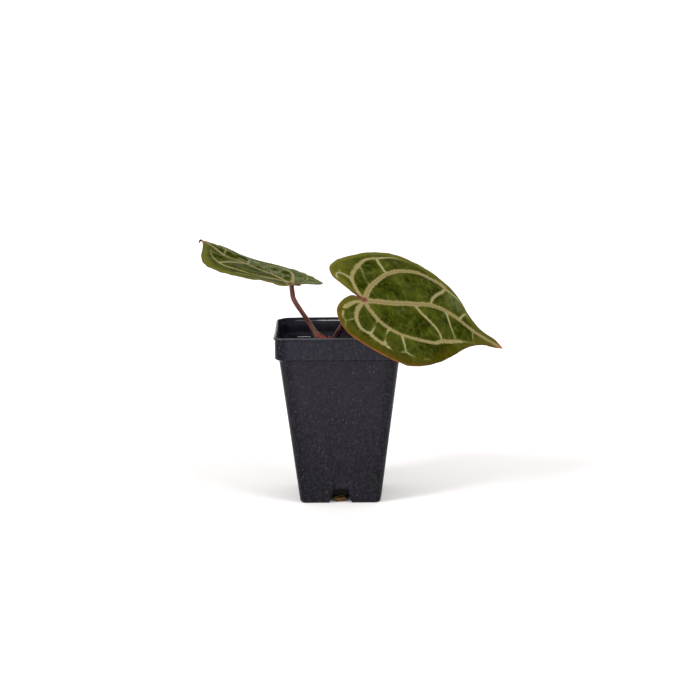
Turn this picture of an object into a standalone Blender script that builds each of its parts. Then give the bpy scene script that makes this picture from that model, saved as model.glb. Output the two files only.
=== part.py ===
"""A small anthurium in a square nursery pot: two heart-shaped leaves on thin stalks over a deep tapered pot.

Metres, +Z up. The origin is the centre of the pot's underside, and the pot's front faces -Y.
"""

import math

import bmesh
import bpy
import numpy as np
from mathutils import Vector

MM = 0.001
COLLECTION = "potted_anthurium"

# Pot, half widths over flats and heights in millimetres
POT_HEIGHT = 86.2
POT_LIP_HALF = 32.0
POT_BAND_HALF = 31.4
POT_BAND_BOTTOM = 75.4
POT_BODY_TOP_HALF = 29.4
POT_BODY_TOP = 74.0
POT_BASE_HALF = 20.4
POT_WALL = 0.9
POT_CORNER_SHARE = 0.16
POT_CORNER_STEPS = 5

# Drain channels in from the middle of each bottom edge
CHANNEL_FOOT_HALF = 5.8
CHANNEL_HALF = 4.0
CHANNEL_SHOULDER = 3.0
CHANNEL_TOP = 7.0
CHANNEL_INNER_END = 10.5

# Potting mix
SOIL_GAP = 0.4
SOIL_EDGE_TOP = 71.2
SOIL_MIDDLE_TOP = 73.6

# Short stem in the middle of the pot
CROWN_AT = (-6.5, 0.2)
CROWN_FOOT = 60.0
CROWN_TOP = 76.8
CROWN_RADIUS = 3.7
CROWN_HOLE_RADIUS = 4.2

# Leaf stalks: centre line points and radii in millimetres
LEFT_STALK = (
    (-8.6, 0.5, 77.4, 1.75),
    (-9.6, 0.9, 79.3, 1.65),
    (-11.0, 0.8, 81.3, 1.5),
    (-13.9, 0.5, 86.0, 1.25),
    (-16.8, 0.2, 90.8, 1.12),
    (-19.9, 0.0, 95.5, 1.08),
    (-22.1, 0.0, 98.8, 1.06),
    (-23.4, 0.0, 101.9, 1.04),
    (-24.0, 0.0, 105.4, 1.04),
    (-24.2, 0.1, 108.3, 1.12),
)
RIGHT_STALK = (
    (-4.4, -0.6, 77.4, 1.7),
    (-3.9, -1.4, 79.4, 1.6),
    (-2.9, -2.5, 82.0, 1.45),
    (-1.2, -4.1, 85.0, 1.3),
    (0.6, -5.9, 88.0, 1.2),
    (3.6, -9.8, 92.5, 1.12),
    (6.8, -14.6, 96.4, 1.08),
    (9.6, -19.4, 99.5, 1.08),
    (11.3, -22.9, 101.6, 1.1),
    (12.2, -25.3, 103.2, 1.15),
)

# Leaf blades. Each outline lists (along, across) sizes from the stalk's joint, along the middle vein.
BLADE_THICKNESS = 0.7
BLADE_STATIONS = 30
BLADE_ACROSS = 6

RIGHT_BLADE = {
    "joint": (12.5, -26.0, 104.2),
    "heading": -4.0,
    "depth_angle": 17.0,
    "roll": 51.0,
    "length": 90.0,
    "arch": (40.0, 0.0),
    "side": -15.0,
    "twist": 13.0,
    "fold_left": (1.0, 0.0),
    "fold_right": (-1.0, 0.0),
    "cup_left": (-4.0, 0.0),
    "cup_right": (0.0, 0.0),
    "back": 0.0,
    "sinus": (-1.5, 1.3),
    "middle": (
        (0, 0), (10, 0.2), (20, 1), (28, 2.2), (36, 3.4), (43, 2.7), (50, 0.9), (58, -0.9), (66, -2.3),
        (73, -2.3), (80, -0.7), (87, 2),
    ),
    "left": (
        (-5, 5.2), (-7.8, 9), (-10.3, 13), (-12.4, 18), (-12, 24.5), (-8, 30), (-3, 33.3), (4, 35.6), (12, 37.6),
        (20, 38), (27, 36.4), (33, 33.6), (40, 29.4), (46.5, 24), (52, 19), (56, 13), (59.5, 7), (64, 3.9),
        (69, 2.2), (75, 2), (81, 2.4),
    ),
    "right": (
        (-4.9, 3.2), (-8.6, 2), (-12, -1), (-15, -5.5), (-15.8, -11), (-15, -16.5), (-12.3, -22), (-8, -27),
        (-2, -31.2), (5, -35.4), (12, -37.8), (19, -38.3), (26, -36.8), (34, -33.2), (42, -28.7), (50, -22.7),
        (58, -15.8), (66, -10), (73, -5.7), (80, -2.5),
    ),
}

LEFT_BLADE = {
    "joint": (-24.0, 0.0, 109.25),
    "heading": 160.0,
    "depth_angle": 24.0,
    "roll": -87.0,
    "length": 55.0,
    "arch": (7.0, -18.0),
    "side": 1.0,
    "twist": -5.0,
    "fold_left": (4.0, 2.0),
    "fold_right": (3.0, -9.0),
    "cup_left": (-0.5, -6.5),
    "cup_right": (1.5, -5.0),
    "back": 2.5,
    "sinus": (-1.6, -0.4),
    "middle": ((0, 0), (9, 0.1), (18, 0.5), (27, 0.3), (36, -0.3), (44, 0.2), (50, 0), (55.6, -0.2)),
    "left": (
        (-4.6, 1.6), (-8, 6), (-8.4, 11), (-7.2, 15.5), (-5.2, 19.5), (-2.6, 23.3), (1, 26.6), (6, 29.4), (12, 31.5),
        (18, 32.1), (24, 31.3), (30, 29.6), (35.5, 27.2), (40, 23.8), (43.7, 19), (47, 13), (50.3, 7), (53.3, 2.4),
    ),
    "right": (
        (-4.4, -2.4), (-7, -4.9), (-8.3, -8.5), (-8.9, -13), (-7.9, -17.4), (-5, -20.5), (-0.5, -23.2), (5, -25.6),
        (11, -27.2), (17, -27.9), (23, -27.7), (29, -26.7), (35, -24.9), (41, -22.3), (46, -19), (49.6, -15.2),
        (52.3, -10.8), (54, -6), (55, -2.6),
    ),
}

# Reddish sheath at the foot of the left stalk
SHEATH_CENTRE = (-6.5, 0.4)
SHEATH_THICKNESS = 0.6
SHEATH_FOOT = 74.6
SHEATH_RADIUS = 4.6
SHEATH_ANGLES = (-152.0, -72.0)
SHEATH_TOPS = (84.6, 83.6, 82.9, 82.4, 81.9, 81.4, 80.6)


def clear_scene():
    for obj in list(bpy.data.objects):
        bpy.data.objects.remove(obj, do_unlink=True)


def collection(name):
    made = bpy.data.collections.new(name)
    bpy.context.scene.collection.children.link(made)
    return made


def material(name, colour, roughness):
    made = bpy.data.materials.new(name)
    made.use_nodes = True
    shader = made.node_tree.nodes["Principled BSDF"]
    shader.inputs["Base Color"].default_value = (*colour, 1.0)
    shader.inputs["Roughness"].default_value = roughness
    shader.inputs["Metallic"].default_value = 0.0
    return made


def object_from(bm, name, look, place, smooth_degrees=35.0):
    mesh = bpy.data.meshes.new(name)
    bm.to_mesh(mesh)
    bm.free()
    if smooth_degrees:
        mesh.shade_smooth()
        mesh.set_sharp_from_angle(angle=math.radians(smooth_degrees))
    obj = bpy.data.objects.new(name, mesh)
    if look:
        mesh.materials.append(look)
    place.objects.link(obj)
    return obj


def as_cutter(obj):
    obj.hide_render = True
    obj.display_type = "WIRE"
    return obj


def cut(obj, cutter):
    modifier = obj.modifiers.new("cut " + cutter.name, "BOOLEAN")
    modifier.operation = "DIFFERENCE"
    modifier.solver = "EXACT"
    modifier.object = cutter


def rounded_square_stack(rings):
    """A floor with rounded corners, extruded up through (half width, height) rings in millimetres."""
    bm = bmesh.new()
    first_half, first_height = rings[0]
    bmesh.ops.create_grid(bm, x_segments=1, y_segments=1, size=first_half * MM)
    bmesh.ops.translate(bm, verts=bm.verts, vec=(0, 0, first_height * MM))
    bmesh.ops.bevel(
        bm,
        geom=list(bm.verts),
        offset=first_half * POT_CORNER_SHARE * MM,
        offset_type="OFFSET",
        segments=POT_CORNER_STEPS,
        profile=0.5,
        affect="VERTICES",
    )
    rim = [edge for edge in bm.edges if edge.is_boundary]
    half = first_half
    for next_half, next_height in rings[1:]:
        grown = bmesh.ops.extrude_edge_only(bm, edges=rim)["geom"]
        for vert in (item for item in grown if isinstance(item, bmesh.types.BMVert)):
            vert.co.x *= next_half / half
            vert.co.y *= next_half / half
            vert.co.z = next_height * MM
        rim = [item for item in grown if isinstance(item, bmesh.types.BMEdge) and item.is_boundary]
        half = next_half
    return bm, rim


def outer_half(height):
    """Half width of the pot's outside on its plain taper."""
    return POT_BASE_HALF + (POT_BODY_TOP_HALF - POT_BASE_HALF) * height / POT_BODY_TOP


def channel_cutter(name, grow, place):
    """Four prisms, one in from the middle of each bottom edge, as one mesh."""
    foot, half = CHANNEL_FOOT_HALF + grow, CHANNEL_HALF + grow
    shoulder, top = CHANNEL_SHOULDER + grow, CHANNEL_TOP + grow
    outline = ((-foot - 0.6, -1), (foot + 0.6, -1), (half, shoulder), (half, top), (-half, top), (-half, shoulder))
    inner, outer = CHANNEL_INNER_END - grow, POT_BASE_HALF + 4
    bm = bmesh.new()
    for quarter in range(4):
        turn = quarter * math.pi / 2
        face = bm.faces.new([bm.verts.new((x * MM, -outer * MM, z * MM)) for x, z in outline])
        grown = bmesh.ops.extrude_face_region(bm, geom=[face])["geom"]
        end = [item for item in grown if isinstance(item, bmesh.types.BMVert)]
        bmesh.ops.translate(bm, verts=end, vec=(0, (outer - inner) * MM, 0))
        prism = list(face.verts) + end
        for vert in prism:
            x, y = vert.co.x, vert.co.y
            vert.co.x = x * math.cos(turn) - y * math.sin(turn)
            vert.co.y = x * math.sin(turn) + y * math.cos(turn)
    bmesh.ops.recalc_face_normals(bm, faces=bm.faces)
    return as_cutter(object_from(bm, name, None, place, 0))


def make_pot(look, place, cutters):
    rings = (
        (POT_BASE_HALF - 0.9, 0.0),
        (POT_BASE_HALF - 0.2, 0.35),
        (outer_half(1.4), 1.4),
        (outer_half(25.0), 25.0),
        (outer_half(50.0), 50.0),
        (POT_BODY_TOP_HALF, POT_BODY_TOP),
        (POT_BODY_TOP_HALF + 0.35, POT_BODY_TOP + 0.7),
        (POT_BAND_HALF - 0.35, POT_BAND_BOTTOM),
        (POT_BAND_HALF, POT_BAND_BOTTOM + 0.7),
        (POT_BAND_HALF, POT_HEIGHT - 1.5),
        (POT_LIP_HALF, POT_HEIGHT - 0.9),
        (POT_LIP_HALF, POT_HEIGHT),
    )
    bm, _ = rounded_square_stack(rings)
    bmesh.ops.recalc_face_normals(bm, faces=bm.faces)
    floor = min(bm.faces, key=lambda face: face.calc_center_median().z)
    if floor.normal.z > 0:
        bmesh.ops.reverse_faces(bm, faces=bm.faces)
    pot = object_from(bm, "pot", look, place)
    wall = pot.modifiers.new("wall", "SOLIDIFY")
    wall.thickness = POT_WALL * MM
    wall.offset = -1.0
    wall.use_even_offset = True
    cut(pot, channel_cutter("pot_channels", 0.0, cutters))
    return pot


def make_potting_mix(look, place, cutters):
    inset = POT_WALL + SOIL_GAP
    foot = POT_WALL + 0.4
    rings = (
        (outer_half(foot) - inset - 0.5, foot),
        (outer_half(foot + 0.6) - inset, foot + 0.6),
        (outer_half(SOIL_EDGE_TOP) - inset, SOIL_EDGE_TOP),
        (24.0, SOIL_EDGE_TOP + 0.6),
        (18.0, SOIL_EDGE_TOP + 1.3),
        (11.0, SOIL_EDGE_TOP + 2.0),
        (5.0, SOIL_MIDDLE_TOP),
    )
    bm, rim = rounded_square_stack(rings)
    bmesh.ops.edgeloop_fill(bm, edges=rim)
    for vert in bm.verts:
        if vert.co.z > (SOIL_EDGE_TOP + 0.3) * MM:
            x, y = vert.co.x / MM, vert.co.y / MM
            vert.co.z += (0.5 * math.sin(0.45 * x + 0.8) + 0.4 * math.cos(0.52 * y - 0.3)) * MM
    bmesh.ops.recalc_face_normals(bm, faces=bm.faces)
    soil = object_from(bm, "potting_mix", look, place)
    cut(soil, channel_cutter("soil_channels", 0.4, cutters))
    bm = bmesh.new()
    bmesh.ops.create_cone(
        bm,
        cap_ends=True,
        segments=20,
        radius1=CROWN_HOLE_RADIUS * MM,
        radius2=CROWN_HOLE_RADIUS * MM,
        depth=20.0 * MM,
    )
    bmesh.ops.translate(bm, verts=bm.verts, vec=(CROWN_AT[0] * MM, CROWN_AT[1] * MM, (CROWN_FOOT + 9.6) * MM))
    cut(soil, as_cutter(object_from(bm, "crown_hole", None, cutters, 0)))
    return soil


def make_crown(look, place):
    bm = bmesh.new()
    bmesh.ops.create_cone(
        bm,
        cap_ends=True,
        segments=16,
        radius1=CROWN_RADIUS * 0.82 * MM,
        radius2=CROWN_RADIUS * MM,
        depth=(CROWN_TOP - CROWN_FOOT) * MM,
    )
    crown = object_from(bm, "crown", look, place)
    crown.location = (CROWN_AT[0] * MM, CROWN_AT[1] * MM, (CROWN_FOOT + CROWN_TOP) / 2 * MM)
    edge = crown.modifiers.new("edge", "BEVEL")
    edge.width = 0.5 * MM
    edge.segments = 2
    edge.limit_method = "ANGLE"
    return crown


def make_stalk(name, points, look, place):
    """A tube through the points, thicker at its foot, with a spline through all of them."""
    curve = bpy.data.curves.new(name, "CURVE")
    curve.dimensions = "3D"
    curve.bevel_depth = MM
    curve.bevel_resolution = 2
    curve.use_fill_caps = True
    line = curve.splines.new("POLY")
    smooth = smooth_through([point[:3] for point in points], 2 * len(points))
    radii = smooth_through([(point[3], 0.0) for point in points], 2 * len(points))
    line.points.add(len(smooth) - 1)
    for spot, (x, y, z), (radius, _) in zip(line.points, smooth, radii):
        spot.co = (x * MM, y * MM, z * MM, 1.0)
        spot.radius = radius
    curve.materials.append(look)
    obj = bpy.data.objects.new(name, curve)
    place.objects.link(obj)
    return obj


def smooth_through(points, count):
    """Evenly spaced samples of a smooth curve that passes through the points."""
    points = np.array(points, float)
    padded = np.vstack([2 * points[0] - points[1], points, 2 * points[-1] - points[-2]])
    dense = []
    for i in range(1, len(padded) - 2):
        p0, p1, p2, p3 = padded[i - 1 : i + 3]
        for t in np.linspace(0, 1, 12, endpoint=False):
            dense.append(
                0.5 * (2 * p1 + (p2 - p0) * t + (2 * p0 - 5 * p1 + 4 * p2 - p3) * t**2
                       + (3 * p1 - p0 - 3 * p2 + p3) * t**3)
            )
    dense = np.array(dense + [padded[-2]])
    steps = np.linalg.norm(np.diff(dense, axis=0), axis=1)
    along = np.concatenate([[0], np.cumsum(steps)])
    wanted = np.linspace(0, along[-1], count)
    return np.stack([np.interp(wanted, along, dense[:, k]) for k in range(points.shape[1])], axis=-1)


def blade_axes(blade):
    """Unit vectors along the middle vein, to its left seen from above the leaf, and up from the leaf's face."""
    heading, depth = math.radians(blade["heading"]), math.radians(blade["depth_angle"])
    roll = math.radians(blade["roll"])
    along = Vector((math.cos(depth) * math.cos(heading), math.sin(depth), math.cos(depth) * math.sin(heading)))
    front = Vector((0, -1, 0))
    front = (front - along * front.dot(along)).normalized()
    up = math.cos(roll) * front + math.sin(roll) * front.cross(along)
    return along, up.cross(along), up


def blade_point(blade, a, b):
    """The bent leaf's point, in millimetres, for a flat place a along the middle vein and b to its left."""
    along, left, up = blade_axes(blade)
    length = blade["length"]
    share = a / length
    forward = max(share, 0.0)

    def bend(s):
        arch = -math.radians(blade["arch"][0] * s + blade["arch"][1] * s * s)
        return arch, math.radians(blade["side"]) * s**1.5

    steps = 24
    x = y = z = 0.0
    for i in range(steps):
        arch, side = bend(forward * (i + 0.5) / steps)
        x += math.cos(arch) * math.cos(side)
        y += math.sin(side) * math.cos(arch)
        z += math.sin(arch)
    run = forward * length / steps
    middle = Vector((x * run + min(a, 0.0), y * run, z * run))
    arch, side = bend(forward)
    ex = Vector((math.cos(arch) * math.cos(side), math.sin(side) * math.cos(arch), math.sin(arch)))
    ez = Vector((-math.sin(arch), 0, math.cos(arch)))
    ey = ez.cross(ex)
    twist = math.radians(blade["twist"]) * share
    across = ey * math.cos(twist) + ez * math.sin(twist)
    rise = ez * math.cos(twist) - ey * math.sin(twist)
    half = "left" if b > 0 else "right"
    fold = math.radians(blade["fold_" + half][0] + blade["fold_" + half][1] * forward)
    cup = blade["cup_" + half][0] + blade["cup_" + half][1] * forward
    height = math.sin(fold) * abs(b) + cup * (b / 30) ** 2 + blade["back"] * (min(a, 0.0) / 10) ** 2
    local = middle + across * (math.cos(fold) * b) + rise * height
    return Vector(blade["joint"]) + along * local.x + left * local.y + up * local.z


def make_blade(name, blade, look, place):
    """A grid of stations from the notch to the tip, moved onto the bent leaf and thickened."""
    stations, across = BLADE_STATIONS, BLADE_ACROSS
    start, tip = blade["sinus"], blade["middle"][-1]
    count = 40 * stations
    edges = {
        side: smooth_through([start, *blade[side], tip], count) for side in ("left", "right")
    }
    middle = smooth_through([start, *blade["middle"]], count)
    bm = bmesh.new()
    bmesh.ops.create_grid(bm, x_segments=stations, y_segments=2 * across, size=1.0)
    for vert in bm.verts:
        share = (vert.co.x + 1) / 2
        side = "left" if vert.co.y > 0 else "right"
        edge = edges[side][min(int(share * count), count - 1)]
        vein = middle[min(int(share**1.6 * count), count - 1)]
        flat = vein + (edge - vein) * abs(vert.co.y)
        vert.co = blade_point(blade, *flat) * MM
    bmesh.ops.remove_doubles(bm, verts=bm.verts, dist=0.00005)
    bmesh.ops.triangulate(bm, faces=bm.faces)
    bmesh.ops.recalc_face_normals(bm, faces=bm.faces)
    top = blade_axes(blade)[2]
    if sum(face.normal.dot(top) for face in bm.faces) < 0:
        bmesh.ops.reverse_faces(bm, faces=bm.faces)
    leaf = object_from(bm, name, look, place, 60)
    body = leaf.modifiers.new("blade", "SOLIDIFY")
    body.thickness = BLADE_THICKNESS * MM
    body.offset = 0.0
    return leaf


def make_sheath(look, place):
    """A pointed scale that wraps the crown's front and climbs the left stalk."""
    first, last = (math.radians(angle) for angle in SHEATH_ANGLES)
    columns = len(SHEATH_TOPS) - 1
    bm = bmesh.new()
    bmesh.ops.create_grid(bm, x_segments=columns, y_segments=5, size=1.0)
    for vert in bm.verts:
        place_across = (vert.co.x + 1) / 2
        climb = (vert.co.y + 1) / 2
        angle = first + (last - first) * place_across
        top = SHEATH_TOPS[round(place_across * columns)]
        lean = -0.5 * climb**2 * (1 - place_across)
        vert.co = Vector((
            SHEATH_CENTRE[0] + SHEATH_RADIUS * math.cos(angle) + lean,
            SHEATH_CENTRE[1] + SHEATH_RADIUS * math.sin(angle),
            SHEATH_FOOT + (top - SHEATH_FOOT) * climb,
        )) * MM
    bmesh.ops.recalc_face_normals(bm, faces=bm.faces)
    sheath = object_from(bm, "sheath", look, place, 60)
    body = sheath.modifiers.new("scale", "SOLIDIFY")
    body.thickness = SHEATH_THICKNESS * MM
    body.offset = 0.0
    return sheath


def main():
    clear_scene()
    plant = collection(COLLECTION)
    cutters = collection(COLLECTION + "_cutters")
    plastic = material("pot plastic", (0.028, 0.028, 0.034), 0.5)
    soil = material("potting mix", (0.075, 0.045, 0.028), 0.95)
    stem = material("stem", (0.16, 0.12, 0.05), 0.7)
    stalk = material("leaf stalk", (0.17, 0.05, 0.035), 0.5)
    leaf = material("leaf blade", (0.062, 0.085, 0.015), 0.5)
    scale = material("sheath", (0.33, 0.06, 0.045), 0.6)
    make_pot(plastic, plant, cutters)
    make_potting_mix(soil, plant, cutters)
    make_crown(stem, plant)
    make_stalk("stalk_left", LEFT_STALK, stalk, plant)
    make_stalk("stalk_right", RIGHT_STALK, stalk, plant)
    make_blade("blade_left", LEFT_BLADE, leaf, plant)
    make_blade("blade_right", RIGHT_BLADE, leaf, plant)
    make_sheath(scale, plant)


main()
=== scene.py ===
"""The finished surfaces of a small potted anthurium: veined leaves, stalks, potting mix and pot.

Metres, +Z up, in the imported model's frame. Sizes named below are in millimetres unless they say otherwise.
"""

import math

import bmesh
import bpy
import numpy as np
from mathutils import Matrix, Vector, noise


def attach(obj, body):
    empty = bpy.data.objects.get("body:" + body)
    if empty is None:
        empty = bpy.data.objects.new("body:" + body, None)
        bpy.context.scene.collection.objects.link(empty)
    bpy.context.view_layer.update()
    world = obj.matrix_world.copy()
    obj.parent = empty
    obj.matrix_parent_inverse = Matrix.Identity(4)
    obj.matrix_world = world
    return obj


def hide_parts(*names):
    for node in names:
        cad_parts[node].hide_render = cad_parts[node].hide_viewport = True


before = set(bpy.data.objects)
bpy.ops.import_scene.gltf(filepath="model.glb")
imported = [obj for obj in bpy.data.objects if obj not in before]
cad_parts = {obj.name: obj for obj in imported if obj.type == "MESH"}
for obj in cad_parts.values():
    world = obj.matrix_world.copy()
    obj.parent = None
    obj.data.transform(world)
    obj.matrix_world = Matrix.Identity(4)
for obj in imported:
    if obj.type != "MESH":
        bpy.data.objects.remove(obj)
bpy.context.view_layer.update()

MM = 0.001
BODY = "root"

# Camera: where it stands, how far it looks down and how far it leans
CAMERA_AT = (5.36, -878.0, 227.0)
CAMERA_DOWN = 9.83
CAMERA_LEAN = 0.45
CAMERA_LENS = 90.0
CAMERA_FILM = 36.0
CAMERA_RANGE = (0.01, 50.0)

# Light: each lamp's heading from the front, height above the horizon, softness and strength
KEY_LIGHT = (-54.0, 38.0, 20.0, 1.8)
FILL_LIGHT = (50.0, 42.0, 24.0, 1.15)
SKY_HORIZON = 1.3
SKY_ZENITH = 0.65
FLOOR_RADIUS = 6000.0

# Light that falls on the leaves, the stalks and the crown: their colours are divided by it
LEAF_LIGHT = 1.6
STALK_LIGHT = 1.2
CROWN_LIGHT = 1.1

# Pot, half widths over flats and heights
POT_HEIGHT = 86.35
POT_LIP_HALF = 32.4
POT_BAND_HALF = 31.75
POT_BODY_TOP_HALF = 29.7
POT_BODY_TOP = 74.0
POT_BASE_HALF = 20.3
POT_WALL = 0.9
POT_BACK_RISE = 0.6
POT_BACK_SPREAD = 0.5
POT_CORNER_SHARE = 0.16
POT_CORNER_STEPS = 12
POT_SIDE_STEPS = 8
POT_EDGE_EASE = 0.22
POT_EASED_ANGLE = 50.0
POT_SHARP_ANGLE = 42.0
# Flecks in its plastic: cell size, how rare they are, largest size and shade
POT_FLECKS = ((0.9, 0.0, 0.3, 0.036), (1.7, 0.3, 0.26, 0.048), (4.2, 0.5, 0.09, 0.12))

# Drain channels in from the middle of each bottom edge
CHANNEL_FOOT_HALF = 5.8
CHANNEL_HALF = 4.35
CHANNEL_SHOULDER = 3.0
CHANNEL_TOP = 7.6
CHANNEL_INNER_END = 10.5

# Potting mix
SOIL_EDGE_TOP = 71.2
SOIL_HALF = 27.8
SOIL_CAD_WALL = 29.4
SOIL_VOXEL = 0.7
GRAIN_SUNK = 0.35
LUMP_KINDS = 6
LUMP_CUTS = 7
FIBRE_POINTS = 16
# Bits in the front drain channel: middle, half sizes and tilt in degrees
DRAIN_BITS = (
    ((-0.4, -17.4, 1.1), (3.2, 1.2, 1.0), 4),
    ((1.5, -16.9, 1.6), (1.9, 1.1, 0.8), -8),
    ((-1.7, -16.6, 1.6), (1.9, 1.2, 0.8), 12),
    ((0.3, -15.4, 2.5), (2.3, 1.0, 0.6), -4),
)

# Short stem in the middle of the pot
CROWN_AT = (-6.5, 0.2)
CROWN_FOOT = 60.0
CROWN_TOP = 76.8
CROWN_RADIUS = 3.7
CROWN_HOLE_RADIUS = 4.2
CROWN_PLUG_MIDDLE = 66.3
CROWN_PLUG_HEIGHT = 14.0
CROWN_RING_HEIGHT = 2.3
CROWN_RINGS = 70
CROWN_SIDES = 48

# Leaf stalks: centre line points and radii. They run on a little into the crown and the blade.
LEFT_STALK = (
    (-8.6, 0.5, 77.4, 1.7),
    (-9.5, 0.9, 79.3, 1.55),
    (-10.7, 0.8, 81.3, 1.4),
    (-13.5, 0.5, 86.0, 1.2),
    (-16.4, 0.2, 90.8, 1.15),
    (-19.5, 0.0, 95.5, 1.18),
    (-21.7, 0.0, 98.9, 1.24),
    (-23.1, 0.0, 101.7, 1.2),
    (-23.7, 0.0, 105.2, 1.16),
    (-23.9, 0.1, 108.3, 1.2),
)
RIGHT_STALK = (
    (-4.4, -0.6, 77.4, 1.7),
    (-3.3, -1.4, 79.4, 1.65),
    (-1.9, -2.5, 82.0, 1.5),
    (-0.3, -4.1, 85.0, 1.35),
    (1.3, -5.9, 88.0, 1.2),
    (3.6, -9.8, 92.5, 1.12),
    (6.8, -14.6, 96.4, 1.08),
    (9.6, -19.4, 99.5, 1.08),
    (11.3, -22.9, 101.6, 1.1),
    (12.2, -25.3, 103.2, 1.15),
)
STALK_FOOT_SUNK = 1.5
STALK_TOP_SUNK = 0.75
STALK_SIDES = 28
STALK_RINGS = 150
STALK_FOOT_FLARE = 1.08
STALK_TOP_FLARE = 1.05
# Swollen knee under each blade, and the collar where it meets the blade
KNEE_SWELLING = 0.12
KNEE_BELOW_TOP = 4.5
KNEE_REACH = 2.6
COLLAR_SWELLING = 0.3
COLLAR_REACH = 1.6

# Leaf blades. Each outline lists (along, across) sizes from the stalk's joint, along the middle vein.
# Quilt is how far the fields between the veins puff up, and how far from a vein they reach that height.
# Waves are soft rises and dips of the face: place, reach and height. Painted_sheen is pale patches of
# painted sheen where the face shines, and dim a darker green: place, reach and strength.
BLADE_COLUMNS = 300
BLADE_ROWS = 80
BLADE_MIDDLE_THICKNESS = 0.46
BLADE_RIM_THICKNESS = 0.26
BEND_STEPS = 24
CURVE_STEPS = 12
MARGIN_SAMPLES = 2400
MARGIN_STEP = 0.15
COLUMN_CROWDING = 1.6

RIGHT_BLADE = {
    "joint": (12.5, -26.0, 104.2),
    "heading": -4.0,
    "depth_angle": 17.0,
    "roll": 51.0,
    "length": 90.0,
    "arch": (40.0, 0.0),
    "side": -15.0,
    "twist": 13.0,
    "fold_left": (1.0, 0.0),
    "fold_right": (-1.0, 0.0),
    "cup_left": (-4.0, 0.0),
    "cup_right": (0.0, 0.0),
    "back": 0.0,
    "sinus": (-1.5, 1.3),
    "middle": (
        (0, 0), (10, 0.2), (20, 1), (28, 2.2), (36, 3.4), (43, 2.7), (50, 0.9), (58, -0.9), (66, -2.3),
        (73, -2.3), (80, -0.7), (88, 2.1),
    ),
    "left": (
        (-5, 5.2), (-7.8, 9), (-10.3, 13), (-12.6, 18), (-12.5, 24.7), (-8.4, 30.3), (-3, 33.4),
        (4, 35.5), (12, 37.8), (20, 38), (27, 36.4), (33, 33.6), (40, 29.5), (46.7, 24.4), (52.8, 19.8),
        (57.3, 13.8), (60.8, 7.9), (64.5, 4.4), (69, 2.4), (75, 2.2), (81, 2.8),
    ),
    "right": (
        (-4.9, 3.2), (-8.6, 2), (-12, -1), (-15, -5.5), (-15.8, -11), (-15, -16.5), (-12.3, -22),
        (-8, -27), (-2, -31.4), (5, -35.8), (12, -38.3), (19, -38.9), (26, -37.5), (34, -33.9),
        (42, -29.2), (50, -22.9), (58, -15.8), (66, -9.9), (73, -5.8), (80, -2.9),
    ),
    "red_rim": ((-2, -31, 24, 1.0), (-13, -10, 14, 0.8), (20, -39, 14, 0.6), (88, 1, 14, 1.0)),
    "tip_start": 10.0,
    "quilt": (0.5, 3.5),
    "frost": ((52, 11, 8, 0.32), (19, -6, 4, 0.22), (15, 34, 5, 0.1)),
    "dim": (
        (25, -12, 11, 0.95), (57, -6, 10, 1.0), (-1, 11, 7, 0.9), (9, 25, 6, 0.7), (14, 9, 10, 0.6),
        (38, 12, 9, 0.55), (30, 17, 8, 0.6), (12, -11, 7, 0.7), (34, -26, 12, 1.0), (48, -6, 6, 0.6),
        (46, -22, 8, 0.7),
    ),
    "ruffle": 0.12,
    "waves": (),
}

LEFT_BLADE = {
    "joint": (-24.0, 0.0, 109.25),
    "heading": 160.0,
    "depth_angle": 24.0,
    "roll": -87.0,
    "length": 55.0,
    "arch": (7.0, -18.0),
    "side": 1.0,
    "twist": -5.0,
    "fold_left": (4.0, 2.0),
    "fold_right": (3.0, -9.0),
    "cup_left": (-0.5, -6.5),
    "cup_right": (1.5, -5.0),
    "back": 2.5,
    "sinus": (-1.6, -0.4),
    "middle": ((0, 0), (9, 0.1), (18, 0.5), (27, 0.3), (36, -0.3), (44, 0.2), (50, 0), (55.6, -0.2)),
    "left": (
        (-4.6, 1.6), (-8, 6), (-8.4, 11), (-7.2, 15.5), (-5.2, 19.5), (-2.6, 23.3), (1, 26.6), (6, 29.4),
        (12, 31.5), (18, 32.1), (24, 31.3), (30, 29.6), (35.5, 27.2), (40, 23.8), (43.7, 19), (47, 13),
        (50.3, 7), (53.3, 2.4),
    ),
    "right": (
        (-4.4, -2.4), (-7, -4.9), (-8.5, -8.5), (-9.5, -13.2), (-8.7, -17.7), (-5.3, -20.7),
        (-0.5, -23.2), (5, -25.6), (11, -27.2), (17, -27.9), (23, -27.7), (29, -26.7), (35, -24.9),
        (41, -22.3), (46, -19), (49.6, -15.2), (52.3, -10.8), (54, -6), (55, -2.6),
    ),
    "red_rim": ((-3, 20, 12, 0.6), (54, 0, 5, 1.0)),
    "tip_start": 2.6,
    "quilt": (0.55, 3.2),
    "frost": (
        (33, -14, 17, 0.5), (14, -13, 18, 0.5), (-3, -13, 12, 0.75), (27, -12, 4, 1.0), (22, -15, 4, 1.0),
        (14, -7, 4, 0.9), (2, -13, 5, 1.0), (-5, -11, 4, 0.9), (30, 8, 5, 0.4), (3, 3, 4, 0.5),
    ),
    "dim": (
        (42, -4, 5, 1.0), (37, -3, 4, 1.0), (35, -9, 5, 1.0), (40, 11, 7, 0.8), (17, -13, 3, 1.0),
        (11, -14, 4, 1.0), (5, -5, 4, 0.7), (-1, 14, 6, 0.5), (20, 9, 7, 0.5), (23, -4, 4, 0.7),
        (10, 5, 4, 0.6), (47, 11, 10, 0.3),
    ),
    "ruffle": 0.3,
    "waves": (
        (10, -26, 10, 0.7), (-1, -23, 6, 0.5), (21, -28, 6, 0.45), (40, -23, 5, -0.6), (35, -25, 4, -0.3),
        (47.5, -17.5, 4, 0.4), (15, 31.5, 7, 0.55), (2.5, 27.5, 3.5, 0.5), (-5, 20, 3.5, -0.5),
        (-6.5, -4, 4, 0.75), (-8.8, -14.5, 3, -0.4),
    ),
}
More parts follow.
